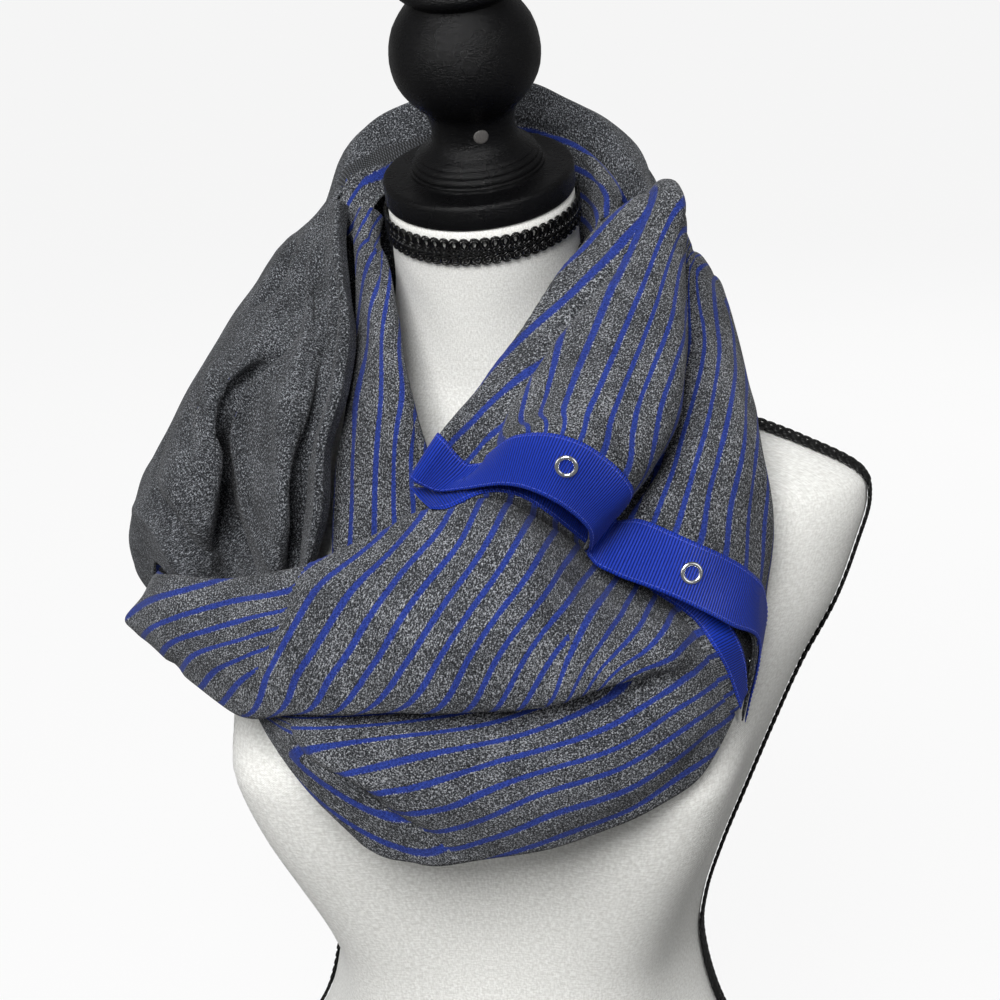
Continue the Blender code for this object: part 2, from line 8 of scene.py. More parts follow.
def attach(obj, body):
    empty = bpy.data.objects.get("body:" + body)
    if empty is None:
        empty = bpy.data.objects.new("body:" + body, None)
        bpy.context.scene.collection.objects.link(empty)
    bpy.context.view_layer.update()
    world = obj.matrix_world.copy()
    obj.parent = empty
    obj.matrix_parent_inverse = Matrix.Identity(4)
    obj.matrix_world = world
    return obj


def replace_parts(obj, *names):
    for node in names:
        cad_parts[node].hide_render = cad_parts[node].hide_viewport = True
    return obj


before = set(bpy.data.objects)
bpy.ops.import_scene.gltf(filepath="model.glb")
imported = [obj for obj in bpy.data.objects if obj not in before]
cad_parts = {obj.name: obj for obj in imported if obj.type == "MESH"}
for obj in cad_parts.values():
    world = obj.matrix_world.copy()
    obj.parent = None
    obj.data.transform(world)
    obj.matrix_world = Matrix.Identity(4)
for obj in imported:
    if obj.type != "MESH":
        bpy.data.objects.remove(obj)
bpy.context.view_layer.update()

# ---------------------------------------------------------------------- camera
# It stands about a metre from the neck, a little to the form's left and above it, and is
# rolled a few degrees, so that the shoulders fall away to one side.
camera_side_angle = math.radians(12.0)
camera_rise_angle = math.radians(16.0)
camera_roll = math.radians(2.9)
camera_distance = 1.1
neck_top = Vector((0.0, 0.0, 0.625))
neck_right_of_centre_px = -19.5
neck_above_centre_px = 317.0
focal_px = 2200.0
picture_px = 1000.0
sensor_mm = 36.0

back = Vector((
    math.sin(camera_side_angle) * math.cos(camera_rise_angle),
    -math.cos(camera_side_angle) * math.cos(camera_rise_angle),
    math.sin(camera_rise_angle),
))
level_right = Vector((math.cos(camera_side_angle), math.sin(camera_side_angle), 0.0))
level_up = back.cross(level_right)
right = level_right * math.cos(camera_roll) - level_up * math.sin(camera_roll)
up = level_up * math.cos(camera_roll) + level_right * math.sin(camera_roll)
metres_per_px = camera_distance / focal_px
place = neck_top + back * camera_distance
place = place - right * neck_right_of_centre_px * metres_per_px
place = place - up * neck_above_centre_px * metres_per_px

lens = bpy.data.cameras.new("camera")
lens.sensor_width = sensor_mm
lens.lens = sensor_mm * focal_px / picture_px
camera = bpy.data.objects.new("camera", lens)
turned = Matrix((right, up, back)).transposed().to_4x4()
camera.matrix_world = Matrix.Translation(place) @ turned
bpy.context.scene.collection.objects.link(camera)
bpy.context.scene.camera = camera

# ---------------------------------------------------------------------- studio
# A matt white floor that turns up into a cove far out, a dim white tent of light all round, and
# four soft boxes: the key in front, just above the camera, a fill on each side and one behind.
MM = 0.001
floor_sides = 96
floor_profile = (
    # radius, height
    (24.0, -0.0002), (26.0, 0.3), (27.4, 1.2), (28.0, 3.0), (28.0, 40.0),
)
paper_grains = (3.0, 3.0, 3.0)
sweep_glow = 0.89
tent_strength = 0.17
aim = Vector((0.0, 0.0, 0.45))
soft_boxes = (
    # name, x, y, z, size, watts
    ("key", -0.1, -2.1, 2.05, 1.25, 77.0),
    ("left_fill", 2.0, -1.3, 1.1, 1.4, 9.0),
    ("right_fill", -2.0, -1.3, 1.1, 1.4, 9.0),
    ("back", 0.5, 2.3, 1.9, 1.6, 34.0),
)


def linear(code):
    """An sRGB hex colour as linear red, green, blue and alpha."""
    parts = [int(code[start:start + 2], 16) / 255 for start in (1, 3, 5)]
    return (*(p / 12.92 if p <= 0.04045 else ((p + 0.055) / 1.055) ** 2.4 for p in parts), 1.0)


def join(tree, node, links):
    """Gives a node's sockets their values. A node stands for its live output and is joined, as
    a socket is, a hex code stands for its colour, and any other value is set."""
    for key, value in links.items():
        if isinstance(value, bpy.types.Node):
            value = next(output for output in value.outputs if output.enabled)
        if isinstance(value, bpy.types.NodeSocket):
            tree.links.new(value, node.inputs[key])
        else:
            node.inputs[key].default_value = linear(value) if isinstance(value, str) else value


def add(tree, kind, links=None, **settings):
    """One shader node with its settings and links."""
    node = tree.nodes.new("ShaderNode" + kind)
    for key, value in settings.items():
        setattr(node, key, value)
    join(tree, node, links or {})
    return node


def new_finish(name, **sockets):
    """A material with its Principled shader, whose constant values are set on its sockets."""
    finish = bpy.data.materials.new(name)
    finish.use_nodes = True
    shader = finish.node_tree.nodes["Principled BSDF"]
    join(finish.node_tree, shader, {key.replace("_", " "): value for key, value in sockets.items()})
    return finish, finish.node_tree, shader


def mottled(name, dark, light, grains, detail=2.0, rough=0.5, turn=0.0, relief=None, **sockets):
    """A finish mottled from dark to light by a noise through the piece, with so many grains to
    a metre along x, y and z, turned about y. relief, the strength and the height in mm of a
    bump, lifts the grains. The noise is handed back too."""
    finish, tree, shader = new_finish(name, **sockets)
    spot = add(tree, "TexCoord")
    way = add(tree, "Mapping", {
        "Vector": spot.outputs["Object"], "Scale": grains, "Rotation": (0.0, turn, 0.0)})
    noise = add(tree, "TexNoise", {
        "Vector": way, "Scale": 1.0, "Detail": detail, "Roughness": rough})
    tone = add(tree, "Mix", {0: noise, 6: dark, 7: light}, data_type="RGBA")
    join(tree, shader, {"Base Color": tone})
    if relief:
        dent = add(tree, "Bump", {"Strength": relief[0], "Distance": relief[1] * MM, "Height": noise})
        join(tree, shader, {"Normal": dent})
    return finish, noise


def ring_faces(rings, segments, closed=False):
    """Faces between stacked rings of points; closed joins the last ring to the first."""
    faces = []
    for ring in range(rings if closed else rings - 1):
        low = ring * segments
        high = (ring + 1) % rings * segments
        for step in range(segments):
            beside = (step + 1) % segments
            faces.append((low + step, low + beside, high + beside, high + step))
    return faces


# Matt white paper, lit evenly from behind as a sweep is, so that it only darkens a little
# where the form stands. It throws no light up at the form.
paper, _ = mottled("white paper sweep", "#464646", "#4C4C4C", paper_grains, Roughness=0.95,
                   Emission_Strength=sweep_glow, Emission_Color="#FFFFFF")
turns = np.linspace(0, 2 * math.pi, floor_sides, endpoint=False)
rings = [(radius * math.cos(turn), radius * math.sin(turn), height)
         for radius, height in floor_profile for turn in turns]
cove = ring_faces(len(floor_profile), floor_sides)
mesh = bpy.data.meshes.new("floor")
mesh.from_pydata(rings, [], [tuple(range(floor_sides))] + cove)
mesh.materials.append(paper)
for face in mesh.polygons:
    face.use_smooth = face.index > 0
floor = bpy.data.objects.new("floor", mesh)
bpy.context.scene.collection.objects.link(floor)
floor.visible_diffuse = False
floor.visible_glossy = False

world = bpy.data.worlds.new("tent")
world.use_nodes = True
join(world.node_tree, world.node_tree.nodes["Background"], {"Color": "#FFFFFF", "Strength": tent_strength})
bpy.context.scene.world = world

for name, x, y, z, size, watts in soft_boxes:
    glow = bpy.data.lights.new(name, "AREA")
    glow.shape = "SQUARE"
    glow.size = size
    glow.energy = watts
    box = bpy.data.objects.new(name, glow)
    box.location = (x, y, z)
    box.visible_glossy = name != "back"
    box.rotation_euler = (aim - box.location).to_track_quat("-Z", "Y").to_euler()
    bpy.context.scene.collection.objects.link(box)

bpy.context.scene.view_settings.view_transform = "Standard"
bpy.context.scene.view_settings.look = "None"

# -------------------------------------------------------------------- base board
# The flat board that closes the foot of the form: 12 mm birch plywood, sawn to the form's
# outline, its edge sanded and the whole sealed with one thin coat of varnish.
ply_sheet_mm = 1.5
ply_grains = (14.0, 160.0, 60.0)
glue_line = 0.15


def ripple(tree, way, length_mm):
    """A wave from -1 to 1 along a coordinate in metres, with its length in mm."""
    turns = add(tree, "Math", {0: way, 1: 2 * math.pi / (length_mm * MM)}, operation="MULTIPLY")
    return add(tree, "Math", {0: turns}, operation="SINE")


ply, tree, shader = new_finish("sealed birch plywood", Roughness=0.5, Coat_Weight=0.15)
where = add(tree, "TexCoord")
apart = add(tree, "SeparateXYZ", {"Vector": where.outputs["Object"]})
stretch = add(tree, "Mapping", {"Vector": where.outputs["Object"], "Scale": ply_grains})
grain = add(tree, "TexNoise", {"Vector": stretch, "Scale": 1.0, "Detail": 6.0})
sheets = ripple(tree, apart.outputs["Z"], 2 * ply_sheet_mm)
band = add(tree, "MapRange", {"Value": sheets, "From Min": -glue_line, "From Max": glue_line})
face = add(tree, "Mix", {0: grain, 6: "#B08A5C", 7: "#D8B888"}, data_type="RGBA")
edge = add(tree, "Mix", {0: grain, 6: "#6E4E30", 7: "#8E6A44"}, data_type="RGBA")
both = add(tree, "Mix", {0: band, 6: face, 7: edge}, data_type="RGBA")
dent = add(tree, "Bump", {"Strength": 0.25, "Distance": 0.4 * MM, "Height": grain})
join(tree, shader, {"Base Color": both, "Normal": dent})
for slot in bpy.data.objects["base_board"].material_slots:
    slot.material = ply

# ------------------------------------------------------------------------- torso
# The body of the form: a papier mache shell padded and covered in off-white linen canvas,
# pulled tight and glued. Plain weave with slubs, a little dull from handling.
lean_degrees = 16.3
lean = math.radians(lean_degrees)
girth = 620.0
neck_radius = 46.8
neck_top_y = -0.5
neck_top_z = 621.0
torso_columns = 120
torso_rows = 170
bust_height = 335.0
bust_reach = 43.0
bust_rise = 40.0
bust_fall = 118.0
bust_turn = math.radians(37.5)
bust_spread = math.radians(20.5)
bust_splay = math.radians(34.0)
thread_mm = 1.0
torso_rings = (
    # height, half width, depth in front, depth behind, centre y, forward lean in degrees
    (12.3, 146.0, 86.0, 92.0, 4.0, 0.0),
    (30.0, 152.0, 90.0, 98.0, 4.0, 0.0),
    (80.0, 154.0, 93.0, 104.0, 4.0, 0.0),
    (130.0, 134.0, 89.0, 92.0, 4.0, 0.0),
    (172.0, 110.0, 82.0, 76.0, 4.0, 0.0),
    (212.0, 100.0, 77.0, 69.0, 4.0, 0.0),
    (240.0, 102.5, 78.0, 69.0, 4.0, 0.0),
    (270.0, 112.0, 82.0, 72.0, 4.0, 0.0),
    (304.0, 125.5, 88.0, 77.0, 4.0, 0.0),
    (342.0, 141.0, 92.0, 80.0, 4.0, 0.0),
    (375.0, 155.5, 91.0, 82.0, 5.0, 0.0),
    (408.0, 173.0, 87.0, 82.0, 7.0, 0.0),
    (438.0, 184.0, 82.0, 80.0, 9.0, 0.0),
    (460.0, 190.0, 76.0, 74.0, 11.0, 0.0),
    (474.0, 185.0, 72.0, 68.0, 13.0, 1.0),
    (488.0, 156.0, 68.0, 63.0, 15.0, 3.0),
    (500.0, 124.0, 65.0, 58.0, 17.0, 6.0),
    (512.0, 94.0, 62.0, 53.0, 19.0, 9.0),
    (526.0, 72.0, 59.0, 50.0, 21.0, 10.0),
    (545.0, 57.0, 54.0, 48.0, 20.0, 13.0),
    (577.0, 48.5, 48.0, 47.5, 12.0, lean_degrees),
    (neck_top_z, neck_radius, neck_radius, neck_radius, neck_top_y, lean_degrees),
)
neck_ring = len(torso_rings) - 1


def spline(rows, samples):
    """Catmull-Rom through the rows; samples are row numbers, which need not be whole."""
    table = np.asarray(rows, float)
    samples = np.asarray(samples, float)
    last = len(table) - 1
    padded = np.concatenate([2 * table[:1] - table[1:2], table, 2 * table[-1:] - table[-2:-1]])
    low = np.clip(np.floor(samples).astype(int), 0, last - 1)
    share = (samples - low).reshape((-1,) + (1,) * (table.ndim - 1))
    before, start, end, after = (padded[low + step] for step in range(4))
    bend = 2 * before - 5 * start + 4 * end - after
    twist = 3 * (start - end) + after - before
    return start + 0.5 * share * (end - before + share * (bend + share * twist))


def torso_points(levels, turns):
    """Points at ring numbers and at angles from the front towards the form's left, in mm."""
    levels, turns = np.broadcast_arrays(np.asarray(levels, float), np.asarray(turns, float))
    rings = spline(torso_rings, levels.ravel())
    height, half, front, behind, centre, tilt = (rings[:, k].reshape(levels.shape) for k in range(6))
    fore = np.cos(turns)
    side = half * np.sin(turns)
    depth = -fore * np.where(fore > 0, front, behind)
    away = (np.arccos(np.clip(fore, -1, 1)) - bust_turn) / bust_spread
    rise = (height - bust_height) / np.where(height > bust_height, bust_rise, bust_fall)
    swell = np.where(fore > 0, bust_reach * np.exp(-away ** 2 - rise ** 2), 0.0)
    side = side + swell * math.sin(bust_splay) * np.sin(turns) / math.sin(bust_turn)
    depth = depth - swell * math.cos(bust_splay)
    tilt = np.radians(tilt)
    return np.stack([side, centre + depth * np.cos(tilt), height + depth * np.sin(tilt)], axis=-1)


def torso_facing(levels, turns):
    """Outward unit normals of the torso."""
    step = 0.01
    rise = torso_points(levels + step, turns) - torso_points(levels - step, turns)
    sweep = torso_points(levels, turns + step) - torso_points(levels, turns - step)
    normal = np.cross(sweep, rise)
    return normal / np.linalg.norm(normal, axis=-1, keepdims=True)


def off_torso(levels, turns, above):
    """Points at a height above the torso's linen, in mm."""
    return torso_points(levels, turns) + torso_facing(levels, turns) * above[:, None]


def make_piece(name, vertices, faces, finishes):
    """A smooth mesh piece from points in millimetres; it rides on the root body and takes the finishes
    given.
    """
    mesh = bpy.data.meshes.new(name)
    mesh.from_pydata((np.asarray(vertices) * MM).tolist(), [], faces)
    for finish in finishes:
        mesh.materials.append(finish)
    mesh.shade_smooth()
    piece = bpy.data.objects.new(name, mesh)
    bpy.context.scene.collection.objects.link(piece)
    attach(piece, "root")
    return piece


def lathe_faces(rings, segments):
    """Faces of stacked rings of points, closed by a flat face at each end."""
    ends = [tuple(range(segments - 1, -1, -1)), tuple(range((rings - 1) * segments, rings * segments))]
    return ring_faces(rings, segments) + ends


def give_measure(piece, across, along):
    """Keeps the cloth's own measure, in mm at each corner of each face, as the UV layer 'cloth'."""
    layer = piece.data.uv_layers.new(name="cloth")
    layer.data.foreach_set("uv", (np.stack([across, along], axis=1) * MM).astype(np.float32).ravel())


# Linen canvas: a plain weave of uneven flax threads. The real threads are 0.6 mm apart,
# finer than the picture holds, so they are drawn 1 mm apart.
slubs_a_metre = 420.0
threads_a_metre = 1100.0
bends_a_metre = 90.0
bend_mm = 1.2
soil_a_metre = 7.0
linen, tree, shader = new_finish("off-white linen canvas", Roughness=0.88, Sheen_Weight=0.25,
                                 Sheen_Roughness=0.5, Specular_IOR_Level=0.25)
where = add(tree, "UVMap", uv_map="cloth")
wobble = add(tree, "TexNoise", {"Vector": where, "Scale": bends_a_metre, "Detail": 2.0})
uneven = add(tree, "VectorMath", {
    0: wobble.outputs["Color"], 1: (bend_mm * MM, bend_mm * MM, 0.0), 2: where}, operation="MULTIPLY_ADD")
apart = add(tree, "SeparateXYZ", {"Vector": uneven})
woven = add(tree, "Math", {0: ripple(tree, apart.outputs["X"], thread_mm),
                           1: ripple(tree, apart.outputs["Y"], thread_mm)}, operation="MULTIPLY")
slubs = []
for grains in ((slubs_a_metre, threads_a_metre, 1.0), (threads_a_metre, slubs_a_metre, 1.0)):
    way = add(tree, "Mapping", {"Vector": where, "Scale": grains})
    slubs.append(add(tree, "TexNoise", {"Vector": way, "Scale": 1.0, "Detail": 3.0}))
mixed = add(tree, "Math", {0: slubs[0], 1: slubs[1]}, operation="MULTIPLY")
fleck = add(tree, "MapRange", {"Value": mixed, "From Min": 0.14, "From Max": 0.36})
yarn = add(tree, "Mix", {0: fleck, 6: "#DAD9D4", 7: "#F6F6F2"}, data_type="RGBA")
spot = add(tree, "TexCoord")
soil = add(tree, "TexNoise", {"Vector": spot.outputs["Object"], "Scale": soil_a_metre, "Detail": 5.0})
shade = add(tree, "MapRange", {
    "Value": soil, "From Min": 0.3, "From Max": 0.7, "To Min": 0.95, "To Max": 1.0})
grey = add(tree, "CombineColor", {"Red": shade, "Green": shade, "Blue": shade})
dull = add(tree, "Mix", {0: 1.0, 6: yarn, 7: grey}, data_type="RGBA", blend_type="MULTIPLY")
height = add(tree, "Math", {0: fleck, 1: 1.6, 2: woven}, operation="MULTIPLY_ADD")
dent = add(tree, "Bump", {"Strength": 0.35, "Distance": 0.22 * MM, "Height": height})
join(tree, shader, {"Base Color": dull, "Normal": dent})

levels = np.linspace(0, neck_ring, torso_rows)
turns = np.linspace(0, 2 * math.pi, torso_columns, endpoint=False)
body = torso_points(levels[:, None], turns[None, :])
faces = lathe_faces(torso_rows, torso_columns)
torso = make_piece("torso_linen", body.reshape(-1, 3), faces, [linen])
across = np.broadcast_to(np.abs(turns - math.pi) * girth / (2 * math.pi), body.shape[:2])
corner = [number for face in faces for number in face]
give_measure(torso, across.ravel()[corner], body[:, :, 2].ravel()[corner])
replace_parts(torso, "torso")

# ---------------------------------------------------------------------- neck cap
# The cap and its finial: one piece of hardwood turned on a lathe, with three scored rings,
# then sprayed with black lacquer. A dowel end closes the hole of the pin in the finial's neck.
cap_lift = 0.3
cap_sides = 112
cap_sharp = math.radians(42.0)
cap_profile = (
    # height above the neck along its axis, radius
    (0.0, 46.6), (0.5, 47.5), (1.4, 47.8), (10.6, 47.8), (11.6, 47.6), (12.2, 47.1), (12.7, 46.2),
    (12.9, 45.0), (13.0, 42.0), (13.2, 36.0), (13.4, 34.4), (13.8, 33.7), (14.6, 33.5), (15.3, 33.6),
    (15.7, 33.2), (16.0, 32.6), (16.4, 32.7), (17.4, 32.7), (18.6, 32.3), (19.1, 31.7), (19.4, 31.1),
    (19.8, 31.2), (20.8, 31.0), (21.7, 30.4), (22.1, 29.6), (22.5, 29.1), (22.9, 29.2), (23.8, 28.6),
    (24.8, 27.2), (26.0, 25.2), (27.6, 23.2), (29.4, 21.8), (31.2, 21.1), (33.6, 20.8), (36.4, 20.8),
    (39.0, 21.0), (41.2, 21.4), (43.0, 21.8), (45.0, 22.6), (47.0, 24.0), (49.0, 26.0), (51.5, 28.5),
    (54.0, 30.6), (57.5, 33.0), (61.0, 34.8), (64.5, 36.0), (68.5, 36.7), (72.3, 37.0),
    (76.0, 36.8), (79.8, 36.3), (83.5, 35.4), (87.5, 34.0), (91.0, 32.0), (94.0, 30.0),
    (97.0, 27.6), (99.4, 25.6), (101.0, 24.6), (102.2, 25.2), (103.4, 26.6), (104.4, 28.4),
    (105.4, 29.4), (107.0, 30.0), (108.6, 30.0), (110.2, 29.5), (111.6, 28.4), (113.0, 26.0),
    (114.0, 23.0), (115.0, 17.6), (115.6, 12.0),
)
dowel_height = 37.0
dowel_turn = math.radians(22.0)
dowel_sides = 28
dowel_sharp = math.radians(50.0)
cap_neck_radius = 20.8
dowel_profile = (
    # how far out, radius
    (-1.5, 3.7), (0.2, 3.7), (0.5, 3.45), (0.75, 2.6), (0.85, 1.3), (0.9, 0.3),
)


def on_neck_axis(height, radius, turn):
    """A point at a height along the neck's axis and a radius from it, in mm."""
    fore = -radius * math.cos(turn)
    return (
        radius * math.sin(turn),
        neck_top_y - height * math.sin(lean) + fore * math.cos(lean),
        neck_top_z + height * math.cos(lean) + fore * math.sin(lean),
    )


# Black nitrocellulose lacquer over turned hardwood: a satin skin that has sunk a little
# into the pores, so that highlights break into specks and short streaks round the turning.
pore_grains = (420.0, 420.0, 1300.0)
worn_spots_a_metre = 60.0
lacquer, _ = mottled("black lacquered wood", "#020202", "#0C0C0E", pore_grains, 4.0, 0.7,
                     relief=(0.9, 0.6), IOR=1.4, Specular_IOR_Level=0.3)
tree = lacquer.node_tree
spot = add(tree, "TexCoord")
worn = add(tree, "TexNoise", {"Vector": spot.outputs["Object"], "Scale": worn_spots_a_metre, "Detail": 4.0})
rub = add(tree, "MapRange", {
    "Value": worn, "From Min": 0.35, "From Max": 0.7, "To Min": 0.2, "To Max": 0.42})
join(tree, tree.nodes["Principled BSDF"], {"Roughness": rub})

turns = np.linspace(0, 2 * math.pi, cap_sides, endpoint=False)
points = [on_neck_axis(height + cap_lift, radius, turn)
          for height, radius in cap_profile for turn in turns]
cap = make_piece("neck_cap_turned", points, lathe_faces(len(cap_profile), cap_sides),
                 [lacquer])
cap.data.set_sharp_from_angle(angle=cap_sharp)
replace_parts(cap, "neck_cap")

# End grain of a beech dowel, stained grey by the lacquer that was wiped off it.
dowel_grains = (1700.0, 500.0, 500.0)
grain_turn = 0.5
end_grain, _ = mottled("wiped beech end grain", "#2A2928", "#6E6B68", dowel_grains, 3.0,
                       turn=grain_turn, Roughness=0.55)
dowel_at = np.array(on_neck_axis(dowel_height + cap_lift, cap_neck_radius, dowel_turn))
dowel_axis = dowel_at - np.array(on_neck_axis(dowel_height + cap_lift, 0.0, dowel_turn))
dowel_axis /= np.linalg.norm(dowel_axis)
dowel_side = np.cross(dowel_axis, (0.0, 0.0, 1.0))
dowel_side /= np.linalg.norm(dowel_side)
dowel_rise = np.cross(dowel_side, dowel_axis)
points = []
for out, radius in dowel_profile:
    for turn in np.linspace(0, 2 * math.pi, dowel_sides, endpoint=False):
        spoke = dowel_side * math.cos(turn) + dowel_rise * math.sin(turn)
        points.append(dowel_at + dowel_axis * out + spoke * radius)
dowel = make_piece("finial_dowel", points, lathe_faces(len(dowel_profile), dowel_sides),
                   [end_grain])
dowel.data.set_sharp_from_angle(angle=dowel_sharp)

# ------------------------------------------------------------------------ braids
# Black rayon gimp, 13.5 mm wide, hand sewn round the top of the neck and down each side of
# the form, where it hides the seams of the linen. A wrapped cord runs in tall loops along
# one edge and in small loops along the other, over a plaited middle.
braid_width = 13.5
braid_below_cap = 2.9
loop_pitch = 4.9
cord_radius = 0.6
cord_sides = 7
points_a_loop = 14
cord_runs = (
    # middle across the braid, half height, half width of a loop, its lift, size of the cord
    (2.6, 3.9, 3.7, 1.7, 1.0),
    (2.7, 2.5, 2.4, 1.5, 1.0),
    (-4.1, -2.4, 3.6, 1.5, 1.0),
    (-4.2, -1.1, 2.1, 1.3, 0.9),
)
plait_pitch = 2.45
plait_reach = 3.0
plait_half_width = 2.0
plait_lift = 2.0
plait_middle = -0.5
plait_dip = 0.9
plait_radius = 0.62
plait_sides = 5
cord_weave = 0.35
cord_weave_lead = 0.8

# Rayon wrapped round a cotton core: black with a low silky gleam along each cord and fine
# windings 0.7 mm apart.
winding_grains = (1500.0, 1500.0, 1500.0)
gimp, _ = mottled("black rayon gimp", "#010101", "#090909", winding_grains,
                  relief=(0.25, 0.2), Roughness=0.27, Specular_IOR_Level=0.4)


def tube(path, radius, sides, closed=False):
    """Points and faces of a round cord along a path of points."""
    path = np.asarray(path, float)
    if closed:
        ahead = np.roll(path, -1, axis=0) - np.roll(path, 1, axis=0)
    else:
        ahead = np.gradient(path, axis=0)
    ahead /= np.linalg.norm(ahead, axis=1, keepdims=True)
    guide = np.where(np.abs(ahead[:, 2:3]) < 0.8, (0.0, 0.0, 1.0), (0.0, 1.0, 0.0))
    one = np.cross(ahead, guide)
    one /= np.linalg.norm(one, axis=1, keepdims=True)
    two = np.cross(ahead, one)
    turns = np.linspace(0, 2 * math.pi, sides, endpoint=False)
    ring = one[:, None] * np.cos(turns)[None, :, None] + two[:, None] * np.sin(turns)[None, :, None]
    radius = np.broadcast_to(np.asarray(radius, float), (len(path),))
    points = path[:, None] + ring * radius[:, None, None]
    faces = ring_faces(len(path), sides, True) if closed else lathe_faces(len(path), sides)
    return points.reshape(-1, 3), faces


def bundle(parts):
    """Several point and face sets as one."""
    points = []
    faces = []
    for some_points, some_faces in parts:
        start = sum(len(p) for p in points)
        points.append(some_points)
        faces += [tuple(start + corner for corner in face) for face in some_faces]
    return np.concatenate(points), faces


def gimp_cords(length, lay, closed):
    """The cords of a length of braid. lay takes the way along, across and above, in mm."""
    loops = max(1, round(length / loop_pitch))
    pitch = length / loops
    turns = np.arange(loops * points_a_loop + 1 - closed) * 2 * math.pi / points_a_loop
    parts = []
    for middle, tall, wide, lift, size in cord_runs:
        along = pitch * turns / (2 * math.pi) - wide * np.sin(turns)
        across = middle + tall * np.cos(turns)
        above = lift + cord_weave * np.sin(turns + cord_weave_lead)
        parts.append(tube(lay(along, across, above), cord_radius * size, cord_sides, closed))
    # Each strand of the plait starts past the middle, dips under the next and thins at its ends.
    strands = max(1, round(length / plait_pitch))
    part = np.linspace(0, 1, 5)
    for strand in range(strands):
        start = strand * length / strands
        for side, shift in ((1, 0.0), (-1, 0.5)):
            along = start + shift * plait_pitch + part * plait_reach
            across = plait_middle + side * (part * 1.35 - 0.15) * plait_half_width
            above = plait_lift - plait_dip * part ** 2
            thick = plait_radius * np.sin(0.35 + 2.4 * part) ** 0.5
            parts.append(tube(lay(along, across, above), thick, plait_sides))
    return bundle(parts)


def way_of(path):
    """Millimetres along a path at each of its points."""
    return np.concatenate([[0.0], np.cumsum(np.linalg.norm(np.diff(path, axis=0), axis=1))])


neck_length = float(way_of(torso_points(neck_ring, np.linspace(0, 2 * math.pi, 120)))[-1])
neck_pitch = (torso_rings[neck_ring][0] - torso_rings[neck_ring - 1][0]) / math.cos(lean)
braid_middle = neck_ring - (braid_below_cap + braid_width / 2) / neck_pitch


def lay_round_neck(along, across, above):
    turn = along / neck_length * 2 * math.pi
    level = braid_middle + across / neck_pitch
    return off_torso(level, turn, above)


points, faces = gimp_cords(neck_length, lay_round_neck, True)
neck_gimp = make_piece("neck_gimp", points, faces, [gimp])
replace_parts(neck_gimp, "neck_braid")

seam_foot = 0.55
seam_top = neck_ring - 0.62
seam_step = 0.02
side_levels = np.linspace(seam_foot, seam_top, 500)
seam_way = way_of(torso_points(side_levels, math.pi / 2))
seam_turn = 2 * seam_step / np.linalg.norm(torso_points(side_levels, math.pi / 2 + seam_step)
                                           - torso_points(side_levels, math.pi / 2 - seam_step), axis=1)
for name, side in (("left", 1), ("right", -1)):

    def lay_down_side(along, across, above):
        level = np.interp(along, seam_way, side_levels)
        turn = side * (math.pi / 2 + across * np.interp(along, seam_way, seam_turn))
        return off_torso(level, turn, above)

    points, faces = gimp_cords(seam_way[-1], lay_down_side, False)
    side_gimp = make_piece(f"side_gimp_{name}", points, faces, [gimp])
    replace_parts(side_gimp, f"side_braid_{name}")

# -------------------------------------------------- snap end and outer turn, striped
# One end of the scarf and the outer turn behind the neck, which are one length of cloth:
# a soft double jersey of cotton and viscose, 300 mm wide, grey heather with woven-looking
# blue stripes. It is folded along its upper edge, gathered over the left shoulder and hangs
# open below it.
cloth_thickness = 1.7
rim_share = 0.45
stripe_pitch = 12.6
stripe_width = 3.0
stripe_start = 0.437
stripe_blur = 0.02
pale_rim = (0.03, 0.075)
jag_mm = 1.6
wale_mm = 2.2
specks_a_metre = 1400.0
fibres_a_metre = (1250.0, 850.0, 1.0)
clouds_a_metre = 55.0
points_a_place = 14
crease_fade = 0.6
crease_slope = 1.6


def smooth(table, rows, columns):
    """A table of points or numbers as a smooth grid, at its row and column numbers."""
    return np.swapaxes(spline(np.swapaxes(spline(table, rows), 0, 1), columns), 0, 1)


def grid_of(sections, rows, columns):
    """A smooth grid through a table of named sections."""
    return smooth([section[1:] for section in sections], rows, columns)


def facing(grid):
    """Unit normals of a grid, on the side that an onlooker sees."""
    normal = np.cross(np.gradient(grid, axis=0), np.gradient(grid, axis=1))
    return normal / np.linalg.norm(normal, axis=2, keepdims=True)


def crease(grid, rows, columns, creases, side=1, uneven=0.35):
    """Presses creases into a smooth grid, or raises ridges. Each has its height and width
    in mm, then the section and rail numbers of points along it; it fades at its ends. On
    side -1 an onlooker sees the back of the grid. uneven is the height, in mm, of the slight
    waves of cloth that nothing pulls tight."""
    along = np.linalg.norm(np.gradient(grid, rows, axis=0), axis=2)
    over = np.linalg.norm(np.gradient(grid, columns, axis=1), axis=2)
    shift = np.zeros(grid.shape[:2])
    for height, width, *places in creases:
        line = spline(places, np.linspace(0, len(places) - 1, points_a_place * len(places)))
        nearest = np.full(shift.shape, 1e9)
        share = np.zeros(shift.shape)
        for (section, rail), part in zip(line, np.linspace(0, 1, len(line))):
            gap = np.hypot((rows[:, None] - section) * along, (columns[None, :] - rail) * over)
            closer = gap < nearest
            nearest = np.where(closer, gap, nearest)
            share = np.where(closer, part, share)
        fade = np.clip(np.sin(math.pi * share), 0, 1) ** crease_fade
        shift += height * fade * np.exp(-(nearest / width) ** crease_slope)
    grid = grid + facing(grid) * (side * shift)[:, :, None]
    x, y, z = grid[:, :, 0], grid[:, :, 1], grid[:, :, 2]
    wave = np.sin(x / 7.3 + 1.3 * np.sin(z / 11.0)) + np.sin(z / 8.9 + 1.7 * np.sin(y / 13.0 + x / 17.0))
    return grid + facing(grid) * (uneven * wave)[:, :, None]


